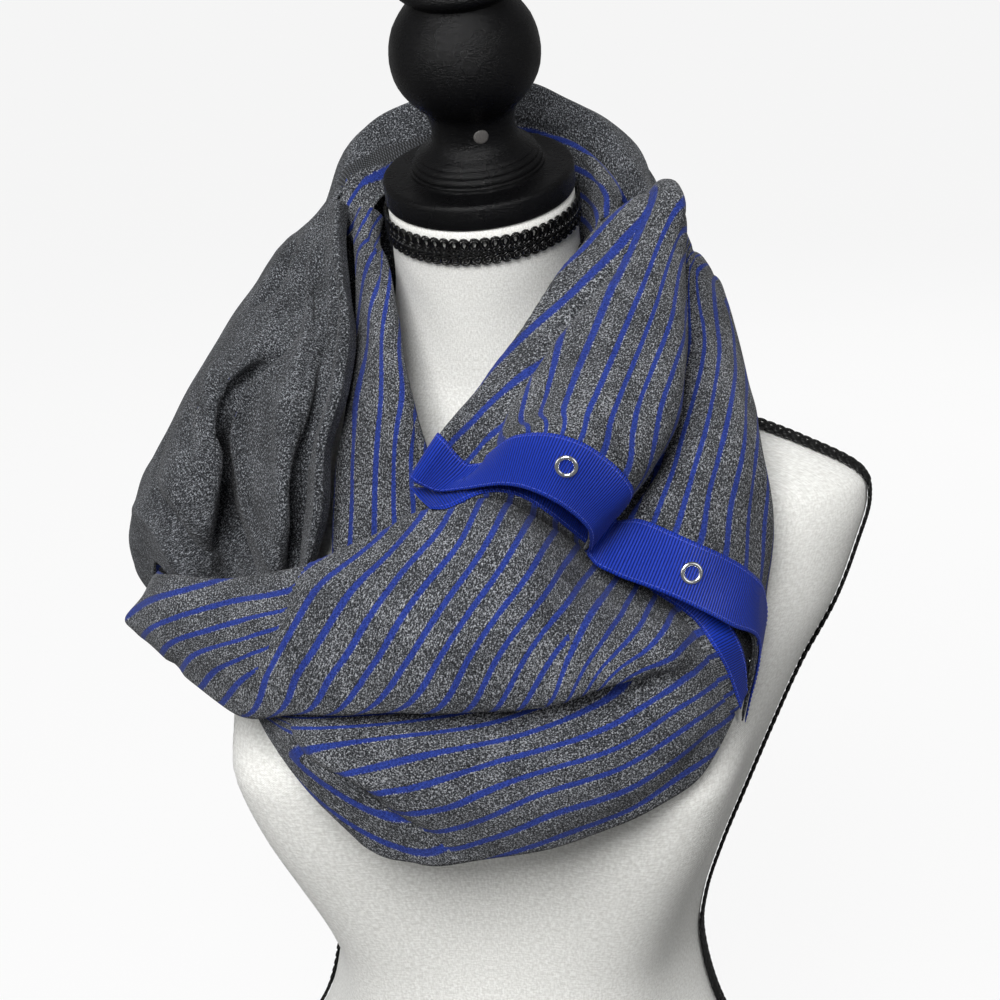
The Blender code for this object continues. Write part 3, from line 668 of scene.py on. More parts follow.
def way_along(grid):
    """Millimetres along the cloth at each row, as a column."""
    step = np.linalg.norm(np.diff(grid, axis=0), axis=2).mean(axis=1)
    return np.concatenate([[0.0], np.cumsum(step)])[:, None]


def way_across(grid):
    """Millimetres across the cloth at each point."""
    step = np.linalg.norm(np.diff(grid, axis=1), axis=2)
    return np.concatenate([np.zeros((len(grid), 1)), np.cumsum(step, axis=1)], axis=1)


def make_sheet(name, grid, finishes, across, along=None, thickness=cloth_thickness, other=None,
               split=None, front=None):
    """A sheet of cloth with its face and its back, closed and rounded at the rim. Where split
    is true, a face takes its measure across the cloth from other. front numbers the finish of
    each place on the front; the back takes the last finish."""
    rows, columns = grid.shape[:2]
    edge = np.full((rows, columns), rim_share)
    edge[1:-1, 1:-1] = 1.0
    lift = facing(grid) * (edge * thickness / 2)[:, :, None]
    count = rows * columns
    place = np.arange(count).reshape(rows, columns)
    face = np.stack([place[:-1, :-1], place[1:, :-1], place[1:, 1:], place[:-1, 1:]], axis=2).reshape(-1, 4)
    rim = np.concatenate([place[0], place[1:, -1], place[-1, -2::-1], place[-2:0:-1, 0]])
    after = np.roll(rim, -1)
    hem = np.stack([rim, after, after + count, rim + count], axis=1)
    faces = np.concatenate([face, face[:, ::-1] + count, hem])
    points = np.concatenate([(grid + lift).reshape(-1, 3), (grid - lift).reshape(-1, 3)])
    piece = make_piece(name, points, faces.tolist(), finishes)
    number = np.full(len(faces), len(finishes) - 1, dtype=np.int32)
    number[:len(face)] = 0 if front is None else front[:-1, :-1].ravel()
    piece.data.polygons.foreach_set("material_index", number)

    def at_corners(measure):
        return np.broadcast_to(measure, (rows, columns)).ravel()[faces.ravel() % count]

    first = at_corners(across)
    if other is not None:
        middle = split[:-1, :-1].ravel()
        chosen = np.concatenate([middle, middle, np.zeros(len(hem), bool)])
        first = np.where(np.repeat(chosen, 4), at_corners(other), first)
    give_measure(piece, first, at_corners(way_along(grid) if along is None else along))
    return piece


def knit_finish(name, striped):
    """Heather jersey: yarn spun from black, grey and white fibres gives a salt and pepper
    face with specks 1 to 1.5 mm across, fuzzy and without gloss. The face has blue stripes
    3 mm wide every 12.6 mm; the reverse is plain, softer, and its wales show as faint ribs."""
    finish, tree, shader = new_finish(name, Roughness=0.95, Sheen_Weight=0.06, Sheen_Roughness=0.6,
                                      Specular_IOR_Level=0.15)
    spot = add(tree, "TexCoord")
    where = add(tree, "UVMap", uv_map="cloth")
    apart = add(tree, "SeparateXYZ", {"Vector": where})
    fleck = add(tree, "TexNoise", {
        "Vector": spot.outputs["Object"], "Scale": specks_a_metre, "Detail": 1.5, "Roughness": 0.6})
    fibre_way = add(tree, "Mapping", {"Vector": where, "Scale": fibres_a_metre})
    fibre = add(tree, "TexNoise", {"Vector": fibre_way, "Scale": 1.0, "Detail": 1.5, "Roughness": 0.6})
    cloud = add(tree, "TexNoise", {
        "Vector": spot.outputs["Object"], "Scale": clouds_a_metre, "Detail": 4.0})
    fibre_share, low, middle, high, white = (
        (0.7, 0.80, 0.98, 1.22, "#A8AAAE") if striped else (1.1, 1.0, 1.22, 1.46, "#9A9DA2"))
    yarn = add(tree, "Math", {0: fibre, 1: fibre_share, 2: fleck}, operation="MULTIPLY_ADD")
    yarn = add(tree, "Math", {0: cloud, 1: 0.22, 2: yarn}, operation="MULTIPLY_ADD")
    dark = add(tree, "MapRange", {"Value": yarn, "From Min": low, "From Max": middle})
    light = add(tree, "MapRange", {"Value": yarn, "From Min": middle, "From Max": high})
    grey = add(tree, "Mix", {0: dark, 6: "#17181A", 7: "#424448"}, data_type="RGBA")
    heather = add(tree, "Mix", {0: light, 6: grey, 7: white}, data_type="RGBA")
    if striped:
        jag = add(tree, "Math", {
            0: fleck, 1: jag_mm * MM, 2: apart.outputs["X"]}, operation="MULTIPLY_ADD")
        number = add(tree, "Math", {0: jag, 1: stripe_pitch * MM}, operation="DIVIDE")
        number = add(tree, "Math", {0: number, 1: stripe_start}, operation="ADD")
        part = add(tree, "Math", {0: number}, operation="FRACT")
        off = add(tree, "Math", {0: part, 1: 0.5}, operation="SUBTRACT")
        off = add(tree, "Math", {0: off}, operation="ABSOLUTE")
        half = stripe_width / 2 / stripe_pitch
        inside = add(tree, "MapRange", {
            "Value": off, "From Min": half + stripe_blur, "From Max": half - stripe_blur})
        rim = add(tree, "MapRange", {
            "Value": off, "From Min": half + pale_rim[1], "From Max": half + pale_rim[0], "To Max": 0.45})
        dye = add(tree, "MapRange", {"Value": yarn, "From Min": 0.75, "From Max": 1.2})
        blue = add(tree, "Mix", {0: dye, 6: "#16225E", 7: "#2E4498"}, data_type="RGBA")
        pale = add(tree, "Mix", {0: light, 6: grey, 7: "#D2D4D6"}, data_type="RGBA")
        beside = add(tree, "Mix", {0: rim, 6: heather, 7: pale}, data_type="RGBA")
        colour = add(tree, "Mix", {0: inside, 6: beside, 7: blue}, data_type="RGBA")
        height = yarn
    else:
        wale = ripple(tree, apart.outputs["X"], wale_mm)
        colour = heather
        height = add(tree, "Math", {0: wale, 1: 0.12, 2: yarn}, operation="MULTIPLY_ADD")
    dent = add(tree, "Bump", {"Strength": 0.4, "Distance": 0.4 * MM, "Height": height})
    join(tree, shader, {"Base Color": colour, "Normal": dent})
    return finish


face_knit = knit_finish("striped heather jersey, face", True)
back_knit = knit_finish("heather jersey, reverse", False)

# The outer turn behind the neck, from right to left. Each section runs from the rim by the
# neck up over the top and down the outside to the hem on the back.
back_outer_turn = (
    # section, then rim, inner, top, outer shoulder, outer, groove,
    # low, hem
    ("left", (-72, 26, 588), (-76, 25, 594), (-86, 24, 598), (-98, 33, 587), (-109, 48, 564),
     (-110, 58, 548), (-112, 70, 528), (-99, 85, 497)),
    ("left back", (-62, 32, 612), (-67, 37, 626), (-75, 46, 640), (-85, 60, 634), (-97, 73, 610),
     (-94, 80, 586), (-99, 92, 552), (-88, 92, 494)),
    ("back left", (-44, 52, 622), (-49, 57, 640), (-56, 66, 657), (-60, 84, 648), (-66, 98, 622),
     (-66, 94, 594), (-68, 108, 556), (-62, 100, 490)),
    ("back", (-2, 71, 636), (-2, 68, 652), (-3, 78, 668), (-4, 96, 655), (-6, 110, 626),
     (-7, 102, 598), (-8, 115, 560), (-6, 105, 486)),
    ("back right", (30, 64, 630), (30, 64, 646), (30, 74, 659), (36, 92, 647), (42, 105, 616),
     (45, 98, 586), (48, 111, 552), (48, 103, 488)),
    ("right back", (57, 52, 614), (58, 53, 628), (56, 62, 643), (68, 76, 632), (77, 84, 608),
     (78, 85, 582), (83, 97, 546), (78, 98, 492)),
    ("right", (70, 38, 598), (72, 39, 606), (75, 46, 616), (80, 56, 606), (85, 66, 582), (86, 73, 565),
     (89, 82, 540), (85, 89, 504)),
)
# The snap end, from behind the left shoulder down to its bound edge. Each section runs from
# the tuck behind the V edge over the front fold, through the valley and over the rear fold.
right_strand = (
    # section, then tuck, V edge, crease, hump, crown, crest,
    # valley, lip, rear crown, rear side, outline, rear tuck
    ("back", (71, 35, 596), (74, 36, 604), (76, 38, 610), (78, 43, 614), (81, 49, 611), (83, 53, 604),
     (85, 57, 595), (86, 61, 587), (88, 65, 578), (89, 73, 562), (92, 81, 537), (89, 88, 502)),
    ("knob", (69, 4, 604), (71, -9, 611), (78, -9, 617), (86, -11, 621), (94, -12, 624),
     (103, -14, 615), (101, 4, 601), (103, 8, 592), (106, 12, 587), (109, 26, 577), (111, 44, 565),
     (109, 70, 544)),
    ("collar", (55, -28, 585), (52, -43, 593), (64, -47, 595), (77, -51, 595), (91, -52, 595),
     (104, -38, 590), (101, -12, 581), (105, -9, 580), (111, -4, 577), (117, 12, 567), (119, 34, 553),
     (114, 62, 522)),
    ("throat", (33, -46, 555), (31, -66, 563), (45, -76, 565), (63, -86, 567), (85, -90, 568),
     (108, -70, 564), (103, -36, 549), (108, -34, 549), (117, -28, 548), (127, -8, 540),
     (129, 16, 524), (125, 20, 509)),
    ("chest", (13, -74, 530), (12, -92, 538), (28, -100, 538), (51, -112, 544), (78, -117, 546),
     (107, -98, 535), (101, -72, 517), (109, -70, 519), (121, -68, 520), (136, -58, 513),
     (141, -44, 499), (128, -36, 486)),
    ("flare", (6, -86, 523), (6, -103, 531), (20, -105, 524), (46, -121, 536), (73, -126, 537),
     (99, -110, 519), (92, -87, 497), (103, -90, 500), (120, -92, 496), (138, -76, 482),
     (147, -56, 461), (129, -52, 446)),
    ("binding", (0, -94, 514), (0, -113, 524), (14, -112, 510), (40, -127, 528), (68, -133, 527),
     (88, -121, 504), (78, -100, 480), (91, -100, 480), (114, -106, 472), (136, -90, 454),
     (143, -66, 430), (136, -56, 393)),
    ("end", (-14, -96, 495), (-15, -113, 503), (0, -113, 497), (32, -128, 505), (53, -134, 501),
     (68, -124, 484), (65, -104, 463), (79, -106, 455), (105, -114, 448), (130, -105, 431),
     (141, -82, 413), (132, -66, 367)),
)
# Where the rails of the snap end lie on the outer turn.
turn_rails = (0.0, 1.0, 1.5, 2.0, 2.5, 3.0, 3.4, 3.8, 4.2, 5.0, 6.0, 7.0)
turn_sections = len(back_outer_turn) - 1
hidden_stripes = 6.2

# Stripe number at the rim of the outer turn, the rail where its face gives way to its back, its
# stripes a rail, and how far the two rails before the crease of the snap end lag behind it.
turn_edge = (-3.4, -1.84, -1.56, -1.5, -1.5, -1.5)
turn_crease = (5.0, 2.6, 2.0, 2.0, 2.0, 2.0)
turn_slope = 0.8
lead_stripes = (2.0, 1.0)

# Stripe numbers on the snap end. Stripes slide under the front fold along the crease, so
# they are counted apart on its two sides.
strand_stripes = (
    # V edge, stripes a rail inside the crease, rail of the crease, then on its far side:
    # crease, hump, crown, crest, valley, lip, rear crown, rear side, outline, rear tuck
    ("back", -1.5, 0.8, 2.0, 6.0, 6.4, 7.2, 8.1, 9.1, 10.2, 11.2, 12.9, 16.0, 21.5),
    ("knob", -1.5, 0.65, 2.9, 5.8, 6.0, 6.3, 7.1, 8.0, 10.0, 11.5, 13.0, 14.5, 18.5),
    ("collar", -1.2, 0.79, 2.9, 5.3, 5.9, 6.8, 8.9, 10.0, 12.2, 13.4, 14.5, 15.5, 19.0),
    ("throat", -0.33, 0.7, 2.35, 4.5, 5.6, 7.15, 9.9, 11.2, 12.2, 13.5, 15.2, 16.5, 20.0),
    ("chest", 0.0, 1.33, 2.15, 3.0, 5.15, 7.3, 10.75, 11.8, 13.0, 14.25, 16.15, 18.0, 21.0),
    ("flare", 0.28, 1.45, 2.28, 2.2, 4.75, 7.2, 10.2, 11.6, 12.9, 14.75, 16.9, 19.3, 22.0),
    ("binding", 0.36, 2.0, 2.3, 2.3, 3.6, 7.0, 9.4, 11.2, 12.5, 14.7, 16.9, 19.0, 22.0),
    ("end", 0.36, 2.0, 2.3, 2.3, 3.6, 7.0, 9.4, 11.2, 12.5, 14.7, 16.9, 19.0, 22.0),
)

strand_creases = (
    # height, width, then section and rail of points along it; sections 0 to 5 are the turn
    (-3.4, 3.6, (5.4, 2.0), (6.3, 2.1), (7.0, 2.9), (8.0, 2.95), (9.0, 2.35), (10.0, 2.15), (11.0, 2.25),
     (12.0, 2.25), (12.7, 2.2)),
    (1.0, 3.0, (6.8, 1.15), (8.5, 1.15), (10.0, 1.15), (12.0, 1.15), (13.4, 1.15)),
    (-1.6, 6.0, (8.8, 2.95), (10.0, 2.9), (11.0, 2.85), (11.9, 2.8)),
    (-1.3, 6.0, (8.0, 4.6), (9.0, 4.35), (9.8, 4.5), (11.2, 4.4)),
    (-1.0, 5.0, (7.6, 5.2), (8.6, 5.1), (9.6, 5.3)),
    (-1.7, 6.0, (8.3, 8.3), (9.5, 8.1), (10.5, 8.2), (11.7, 8.3)),
    (-1.3, 7.0, (8.8, 9.3), (10.0, 9.2), (11.0, 9.25), (12.2, 9.2)),
    (-2.2, 4.0, (6.3, 4.2), (7.0, 3.7), (7.5, 3.4), (8.4, 3.5)),
    (-1.8, 4.5, (6.2, 5.5), (7.1, 5.2), (7.7, 4.9), (8.7, 4.7)),
    (-2.4, 4.0, (6.4, 8.2), (7.1, 7.8), (7.8, 7.5), (8.7, 7.6)),
    (-1.8, 6.0, (6.3, 9.6), (7.2, 9.4), (8.0, 9.3), (9.0, 9.5)),
    (-3.5, 7.0, (0.1, 7.5), (1.5, 8.2), (3.0, 8.7), (4.5, 8.3), (6.0, 7.4)),
    (-3.2, 9.0, (0.1, 9.0), (1.8, 9.7), (3.2, 10.0), (4.6, 9.6), (6.2, 8.7)),
    (-2.0, 5.0, (0.6, 6.4), (2.0, 6.6), (3.2, 6.7)),
    (-2.2, 5.0, (3.1, 6.2), (4.5, 6.0), (6.0, 5.7)),
    (-2.6, 8.0, (0.1, 10.2), (1.0, 10.5), (1.9, 10.7)),
    (-6.0, 4.5, (10.4, 6.05), (11.4, 6.0), (12.4, 5.95), (13.2, 5.9)),
    (2.8, 8.0, (6.1, 3.6), (6.6, 4.1), (7.0, 4.5), (7.5, 5.0)),
    (-2.8, 8.0, (4.0, 10.6), (5.3, 10.2), (6.6, 9.8)),
    (2.0, 8.0, (0.2, 8.3), (2.2, 9.1), (3.8, 9.1), (6.0, 8.1)),
    (-1.6, 4.0, (0.8, 4.0), (2.2, 3.6), (3.4, 3.5), (5.2, 3.7)),
    (-1.5, 4.0, (0.4, 1.4), (2.0, 1.6), (4.0, 1.5), (5.6, 1.5)),
)
turn_rows = 62
end_rows = 124
strand_last = turn_sections + len(right_strand) - 1
strand_row_steps = np.concatenate([np.linspace(0, turn_sections, turn_rows, endpoint=False),
                                   np.linspace(turn_sections, strand_last, end_rows)])
strand_columns = np.linspace(0, len(turn_rails) - 1, 196)


def strand_table():
    """The outer turn and the snap end as one table of sections by rails."""
    turn = grid_of(back_outer_turn, np.arange(turn_sections), np.array(turn_rails))
    return np.concatenate([turn, [section[1:] for section in right_strand]])


def strand_surface(rows, columns):
    """The middle of the cloth at section and rail numbers, with its creases, in mm."""
    return crease(smooth(strand_table(), rows, columns), rows, columns, strand_creases)


def strand_measure(rows, columns):
    """Stripe numbers inside and beyond the crease, and whether a point lies beyond it."""
    numbers = np.array([row[1:] for row in strand_stripes])
    edge = np.concatenate([turn_edge, numbers[:, 0]])
    slope = np.concatenate([np.full(turn_sections, turn_slope), numbers[:, 1]])
    rail = np.concatenate([turn_crease, numbers[:, 2]])
    width = way_across(strand_table()[:turn_sections]) / stripe_pitch
    turn = width - width[:, 1:2] + turn_edge[-1] + hidden_stripes
    end = np.concatenate([numbers[:, 3:4] - lead_stripes, numbers[:, 3:]], axis=1)
    edge, slope, rail = (spline(value, rows)[:, None] for value in (edge, slope, rail))
    inside = edge + slope * (columns[None, :] - 1.0)
    beyond = smooth(np.concatenate([turn, end]), rows, columns)
    return inside * stripe_pitch, beyond * stripe_pitch, columns[None, :] >= rail


# The outer turn shows its reverse, except for a narrow rim that is turned in beside the
# neck, and turns face out in a twist behind the left shoulder.
rim_sections = (0.0, 0.5, 0.68, 0.85, 1.0, 1.3, 1.7, 2.15, 2.6)
rim_rails = (4.6, 3.1, 2.45, 1.9, 1.45, 1.1, 0.82, 0.7, 0.62)
overlock_sections = (0.3, 1.0, 2.0, 2.9)
overlock_half_rails = (0.5, 0.33, 0.25, 0.0)
twist_rails = (0.0, 3.0, 6.0, 8.5, 11.0)
twist_sections = (6.3, 6.2, 6.0, 5.75, 5.4)

# Dark polyester overlock thread in loops 1.9 mm apart over the cut edge. Its colour is painted from
# charcoal on the raised loops to black between them: painted highlight and painted shade that follow the
# loops' relief.
loop_mm = 1.9
loop_row_mm = 2.6
loop_slant = 0.55
overlock, tree, shader = new_finish("overlocked edge", Roughness=0.7, Sheen_Weight=0.05)
where = add(tree, "UVMap", uv_map="cloth")
apart = add(tree, "SeparateXYZ", {"Vector": where})
slant = add(tree, "Math", {
    0: apart.outputs["X"], 1: loop_slant, 2: apart.outputs["Y"]}, operation="MULTIPLY_ADD")
bead = add(tree, "Math", {0: ripple(tree, slant, loop_mm),
                          1: ripple(tree, apart.outputs["X"], loop_row_mm)}, operation="MULTIPLY")
# Painted highlight and shade: the loops are coloured lighter where they rise and darker between them.
painted_loop_light = add(tree, "MapRange", {"Value": bead, "From Min": -0.2, "From Max": 0.8})
tone = add(tree, "Mix", {0: painted_loop_light, 6: "#0B0C0E", 7: "#5A5D62"}, data_type="RGBA")
dent = add(tree, "Bump", {"Strength": 0.7, "Distance": 0.5 * MM, "Height": bead})
join(tree, shader, {"Base Color": tone, "Normal": dent})

cloth = strand_surface(strand_row_steps, strand_columns)
inside, beyond, split = strand_measure(strand_row_steps, strand_columns)
section = strand_row_steps[:, None]
rail = strand_columns[None, :]
rim_rail = np.interp(section, rim_sections, rim_rails)
half_rail = np.interp(section, overlock_sections, overlock_half_rails)
front = np.where((section < np.interp(rail, twist_rails, twist_sections)) & (rail > rim_rail), 1, 0)
front = np.where(np.abs(rail - rim_rail) < half_rail, 2, front)
snap_end = make_sheet("snap_end_and_outer_turn", cloth, [face_knit, back_knit, overlock, back_knit],
                      inside, other=beyond, split=split, front=front)
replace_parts(snap_end, "right_strand", "back_outer_turn")

# ---------------------------------------------------------- front band, striped
# The other end of the scarf, which lies beneath the snap end: it crosses the chest from its
# fold at the right shoulder, turns under along a lip and hangs below it as a swag.
front_band = (
    # section, then tuck, roll, upper, middle, lower, lip,
    # tuck, swag top, swag upper, swag lower, hem
    ("ear", (-171, -48, 434), (-171, -58, 433), (-174, -66, 426), (-180, -76, 418), (-176, -77, 412),
     (-172, -71, 405), (-171, -57, 405), (-165, -50, 408), (-159, -48, 412), (-153, -46, 415),
     (-148, -44, 417)),
    ("fold", (-147, -80, 436), (-147, -91, 445), (-146, -101, 440), (-146, -107, 429),
     (-147, -108, 417), (-145, -102, 402), (-145, -86, 400), (-142, -78, 403), (-140, -73, 408),
     (-137, -69, 412), (-134, -65, 415)),
    ("side", (-113, -94, 439), (-111, -105, 448), (-108, -118, 442), (-107, -128, 429),
     (-108, -131, 412), (-108, -126, 389), (-109, -110, 386), (-111, -102, 388), (-111, -97, 393),
     (-110, -92, 398), (-108, -88, 403)),
    ("left", (-83, -101, 447), (-81, -113, 456), (-76, -128, 450), (-72, -140, 437), (-72, -147, 418),
     (-70, -145, 397), (-83, -125, 393), (-95, -116, 384), (-90, -121, 368), (-73, -130, 351),
     (-52, -131, 331)),
    ("midleft", (-44, -107, 463), (-43, -118, 471), (-35, -135, 463), (-30, -148, 448),
     (-27, -155, 426), (-26, -153, 402), (-49, -131, 399), (-68, -139, 387), (-57, -144, 368),
     (-37, -144, 351), (-19, -134, 316)),
    ("middle", (-11, -108, 479), (-10, -118, 487), (2, -137, 478), (8, -151, 459), (12, -158, 432),
     (13, -155, 404), (-1, -134, 405), (-21, -143, 388), (-10, -147, 369), (2, -147, 350),
     (13, -135, 320)),
    ("midright", (24, -104, 485), (25, -112, 492), (38, -134, 482), (45, -148, 462), (50, -156, 435),
     (51, -152, 407), (43, -133, 408), (26, -141, 392), (36, -146, 376), (44, -146, 356),
     (49, -134, 328)),
    ("right", (64, -72, 448), (69, -80, 453), (75, -101, 445), (80, -124, 438), (83, -138, 427),
     (83, -142, 415), (78, -131, 410), (74, -133, 401), (79, -138, 386), (84, -138, 367),
     (89, -127, 342)),
    ("nearend", (94, -78, 436), (96, -84, 437), (101, -101, 435), (105, -116, 431), (107, -123, 424),
     (107, -124, 417), (107, -121, 411), (107, -120, 403), (110, -120, 390), (113, -116, 374),
     (115, -106, 354)),
    ("end", (105, -80, 428), (108, -87, 426), (112, -95, 424), (116, -100, 421), (118, -101, 417),
     (121, -100, 413), (122, -99, 408), (124, -97, 403), (126, -94, 394), (128, -90, 387),
     (130, -85, 378)),
)
# Stripe numbers at the points of the table. Left of a crease that runs down the band, and
# of one down the swag, the stripes lie flatter, so they are counted apart there.
band_stripes = (
    ("ear", -3.0, -2.6, -2.0, -1.2, -0.4, 0.6, 3.0, 11.0, 13.0, 15.0, 17.0),
    ("fold", -1.6, -1.2, -0.4, 0.4, 1.2, 2.0, 4.5, 12.0, 14.0, 16.0, 18.0),
    ("side", 0.2, 0.6, 1.2, 1.9, 2.6, 3.6, 6.0, 13.0, 15.0, 17.0, 19.0),
    ("left", 2.4, 2.6, 3.2, 3.9, 4.7, 5.85, 8.5, 14.3, 15.8, 17.5, 20.0),
    ("midleft", 3.0, 3.4, 4.95, 6.0, 7.1, 8.75, 10.5, 14.9, 16.75, 18.55, 21.3),
    ("middle", 4.6, 4.9, 6.4, 7.95, 9.56, 11.0, 12.0, 15.7, 17.6, 19.2, 21.9),
    ("midright", 7.2, 7.6, 8.95, 10.35, 12.35, 14.0, 14.4, 16.2, 18.25, 20.3, 22.5),
    ("right", 12.0, 12.2, 13.15, 14.05, 15.2, 16.6, 16.7, 17.05, 18.5, 20.5, 22.5),
    ("nearend", 15.0, 15.2, 15.8, 16.3, 16.9, 17.35, 17.65, 18.2, 19.55, 21.0, 22.6),
    ("end", 16.1, 16.5, 16.9, 17.25, 17.6, 18.0, 18.4, 18.75, 19.5, 20.3, 21.1),
)
fold_stripes = (
    ("ear", -3.0, -2.7, -2.3, -2.0, -1.5, -0.9, -0.3, 18.6, 19.4, 20.2, 21.0),
    ("fold", -3.1, -2.8, -2.05, -1.1, -0.15, 0.8, 1.5, 18.8, 19.6, 20.4, 21.2),
    ("side", -2.1, -1.9, -1.0, 0.5, 2.3, 3.6, 4.2, 19.0, 19.9, 20.7, 21.5),
    ("left", -1.9, -1.6, -0.8, 1.4, 3.9, 5.6, 6.0, 19.3, 20.4, 21.2, 21.9),
    ("midleft", -1.2, -1.0, 0.4, 2.4, 5.0, 7.0, 7.5, 19.0, 19.5, 19.7, 21.4),
    ("middle", 0.0, 0.3, 1.8, 5.0, 8.6, 9.6, 10.0, 19.0, 19.5, 19.9, 21.8),
    ("midright", 7.2, 7.6, 8.95, 10.2, 11.6, 12.9, 14.4, 16.4, 18.5, 20.3, 22.5),
    ("right", 12.0, 12.2, 13.15, 14.0, 15.2, 16.9, 16.7, 17.05, 18.5, 20.5, 22.5),
    *band_stripes[-2:],
)
# Where the two creases cross each rail.
crease_rails = (0.0, 1.0, 1.75, 2.4, 3.4, 4.0, 5.0, 6.0, 6.5, 7.0, 7.8, 8.3, 9.1, 9.5, 10.0)
crease_sections = (3.6, 3.3, 3.05, 2.92, 2.62, 2.42, 2.1, 1.5, 3.0, 3.7, 3.75, 4.0, 4.1, 4.5, 4.7)
# Right of a valley that runs down to the lip they are counted apart as well.
valley_rails = (0.0, 2.49, 2.5, 3.0, 3.5, 4.0, 4.5, 5.0, 5.4, 5.41, 10.0)
valley_sections = (9.5, 9.5, 6.75, 6.57, 6.39, 6.3, 6.1, 5.92, 5.85, 9.5, 9.5)
band_creases = (
    (-1.9, 5.0, (3.35, 0.9), (3.05, 1.75), (2.92, 2.4), (2.62, 3.4), (2.3, 4.4)),
    (-2.0, 5.0, (6.8, 2.2), (6.57, 3.0), (6.33, 3.8), (6.1, 4.5), (5.95, 5.0)),
    (-2.2, 4.5, (0.8, 5.2), (1.05, 4.8), (1.5, 3.7), (2.05, 3.05), (2.3, 2.8)),
    (1.2, 4.5, (1.1, 5.2), (1.4, 4.3), (1.9, 3.6), (2.3, 3.3)),
    (-1.2, 4.0, (1.7, 4.4), (2.15, 3.8), (2.35, 3.5)),
    (-3.2, 8.0, (6.9, 1.7), (6.7, 2.1), (6.3, 3.1), (5.95, 4.0), (5.5, 4.9)),
    (2.2, 8.0, (7.1, 2.0), (6.8, 2.9), (6.5, 3.8), (6.1, 4.9)),
    (-2.6, 7.0, (6.3, 5.6), (7.0, 5.8), (7.6, 6.0), (8.4, 6.2)),
    (-2.2, 6.0, (5.1, 8.5), (5.45, 8.2), (6.0, 7.6), (6.8, 7.25), (7.9, 7.0)),
    (1.6, 9.0, (5.2, 9.6), (6.2, 9.5), (7.0, 9.3), (8.2, 8.5)),
    (-1.7, 6.0, (6.5, 9.8), (7.2, 9.7), (8.0, 9.3), (8.9, 8.6)),
    (-2.8, 4.0, (3.7, 7.0), (3.75, 7.8), (4.0, 8.3), (4.1, 9.1), (4.5, 9.5), (4.7, 9.95)),
    (1.6, 6.0, (3.9, 6.9), (4.0, 7.6), (4.25, 8.2), (4.4, 8.9), (4.8, 9.4)),
    (0.9, 3.0, (0.1, 1.0), (2.0, 1.0), (4.0, 1.0), (6.0, 1.0), (8.2, 1.0)),
    (-0.9, 8.0, (5.3, 1.6), (4.9, 3.0), (4.5, 4.8)),
    (-0.8, 8.0, (4.4, 1.5), (4.0, 3.0), (3.6, 4.8)),
    (-1.2, 6.0, (0.1, 3.4), (0.8, 3.0), (1.6, 2.4), (2.4, 1.9)),
    (-1.0, 4.0, (4.4, 7.3), (5.0, 7.2), (5.6, 7.1)),
)


def creased(sections, creases, row_count, column_count, side=1, uneven=0.35):
    """A stretch of cloth from its sections and creases, after its row and column numbers."""
    rows = np.linspace(0, len(sections) - 1, row_count)
    columns = np.linspace(0, len(sections[0]) - 2, column_count)
    return rows, columns, crease(grid_of(sections, rows, columns), rows, columns, creases, side, uneven)


rows, columns, cloth = creased(front_band, band_creases, 180, 190, side=-1, uneven=0.3)
split = rows[:, None] < np.interp(columns, crease_rails, crease_sections)[None, :]
split = split | (rows[:, None] > np.interp(columns, valley_rails, valley_sections)[None, :])
band = make_sheet("front_band_and_swag", cloth, [back_knit, face_knit],
                  grid_of(band_stripes, rows, columns) * stripe_pitch,
                  other=grid_of(fold_stripes, rows, columns) * stripe_pitch, split=split)
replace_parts(band, "front_band")

# -------------------------------------------------- outer turn over the right shoulder
# The outer turn where it comes forward over the right shoulder, reverse out: its inner edge
# and its lower edge roll, and three deep folds fall from the shoulder into the front band.
left_outer_drape = (
    # section, then tuck, roll, groove, ridge, valley, shoulder,
    # crest, side, rear, back
    ("nape", (-75, 20, 612), (-77, 10, 617), (-85, 18, 612), (-93, 18, 606), (-104, 28, 598),
     (-113, 34, 592), (-124, 42, 580), (-123, 62, 564), (-120, 80, 538), (-106, 93, 500)),
    ("neck", (-69, -12, 588), (-71, -22, 593), (-79, -16, 590), (-89, -16, 588), (-100, -8, 586),
     (-110, -4, 582), (-127, 12, 571), (-145, 36, 551), (-152, 64, 524), (-136, 82, 484)),
    ("shoulder", (-59, -42, 559), (-60, -54, 566), (-71, -46, 562), (-80, -50, 563), (-95, -38, 559),
     (-108, -38, 558), (-130, -20, 555), (-155, 8, 530), (-172, 42, 500), (-162, 66, 462)),
    ("upper", (-57, -66, 534), (-59, -80, 538), (-71, -70, 533), (-79, -78, 535), (-111, -54, 531),
     (-121, -68, 537), (-143, -50, 530), (-173, -14, 497), (-195, 22, 466), (-188, 48, 432)),
    ("middle", (-64, -78, 510), (-65, -92, 514), (-75, -82, 508), (-83, -92, 508), (-123, -54, 503),
     (-124, -76, 510), (-147, -66, 505), (-181, -30, 478), (-199, 2, 446), (-194, 30, 412)),
    ("lower", (-66, -88, 478), (-68, -99, 481), (-80, -84, 474), (-88, -97, 476), (-126, -54, 470),
     (-130, -77, 477), (-152, -75, 476), (-179, -46, 463), (-197, -14, 428), (-191, 12, 396)),
    ("pocket", (-79, -84, 439), (-81, -92, 441), (-90, -80, 437), (-98, -86, 438), (-125, -58, 430),
     (-138, -68, 430), (-154, -66, 435), (-175, -40, 436), (-184, -16, 408), (-180, 4, 386)),
)
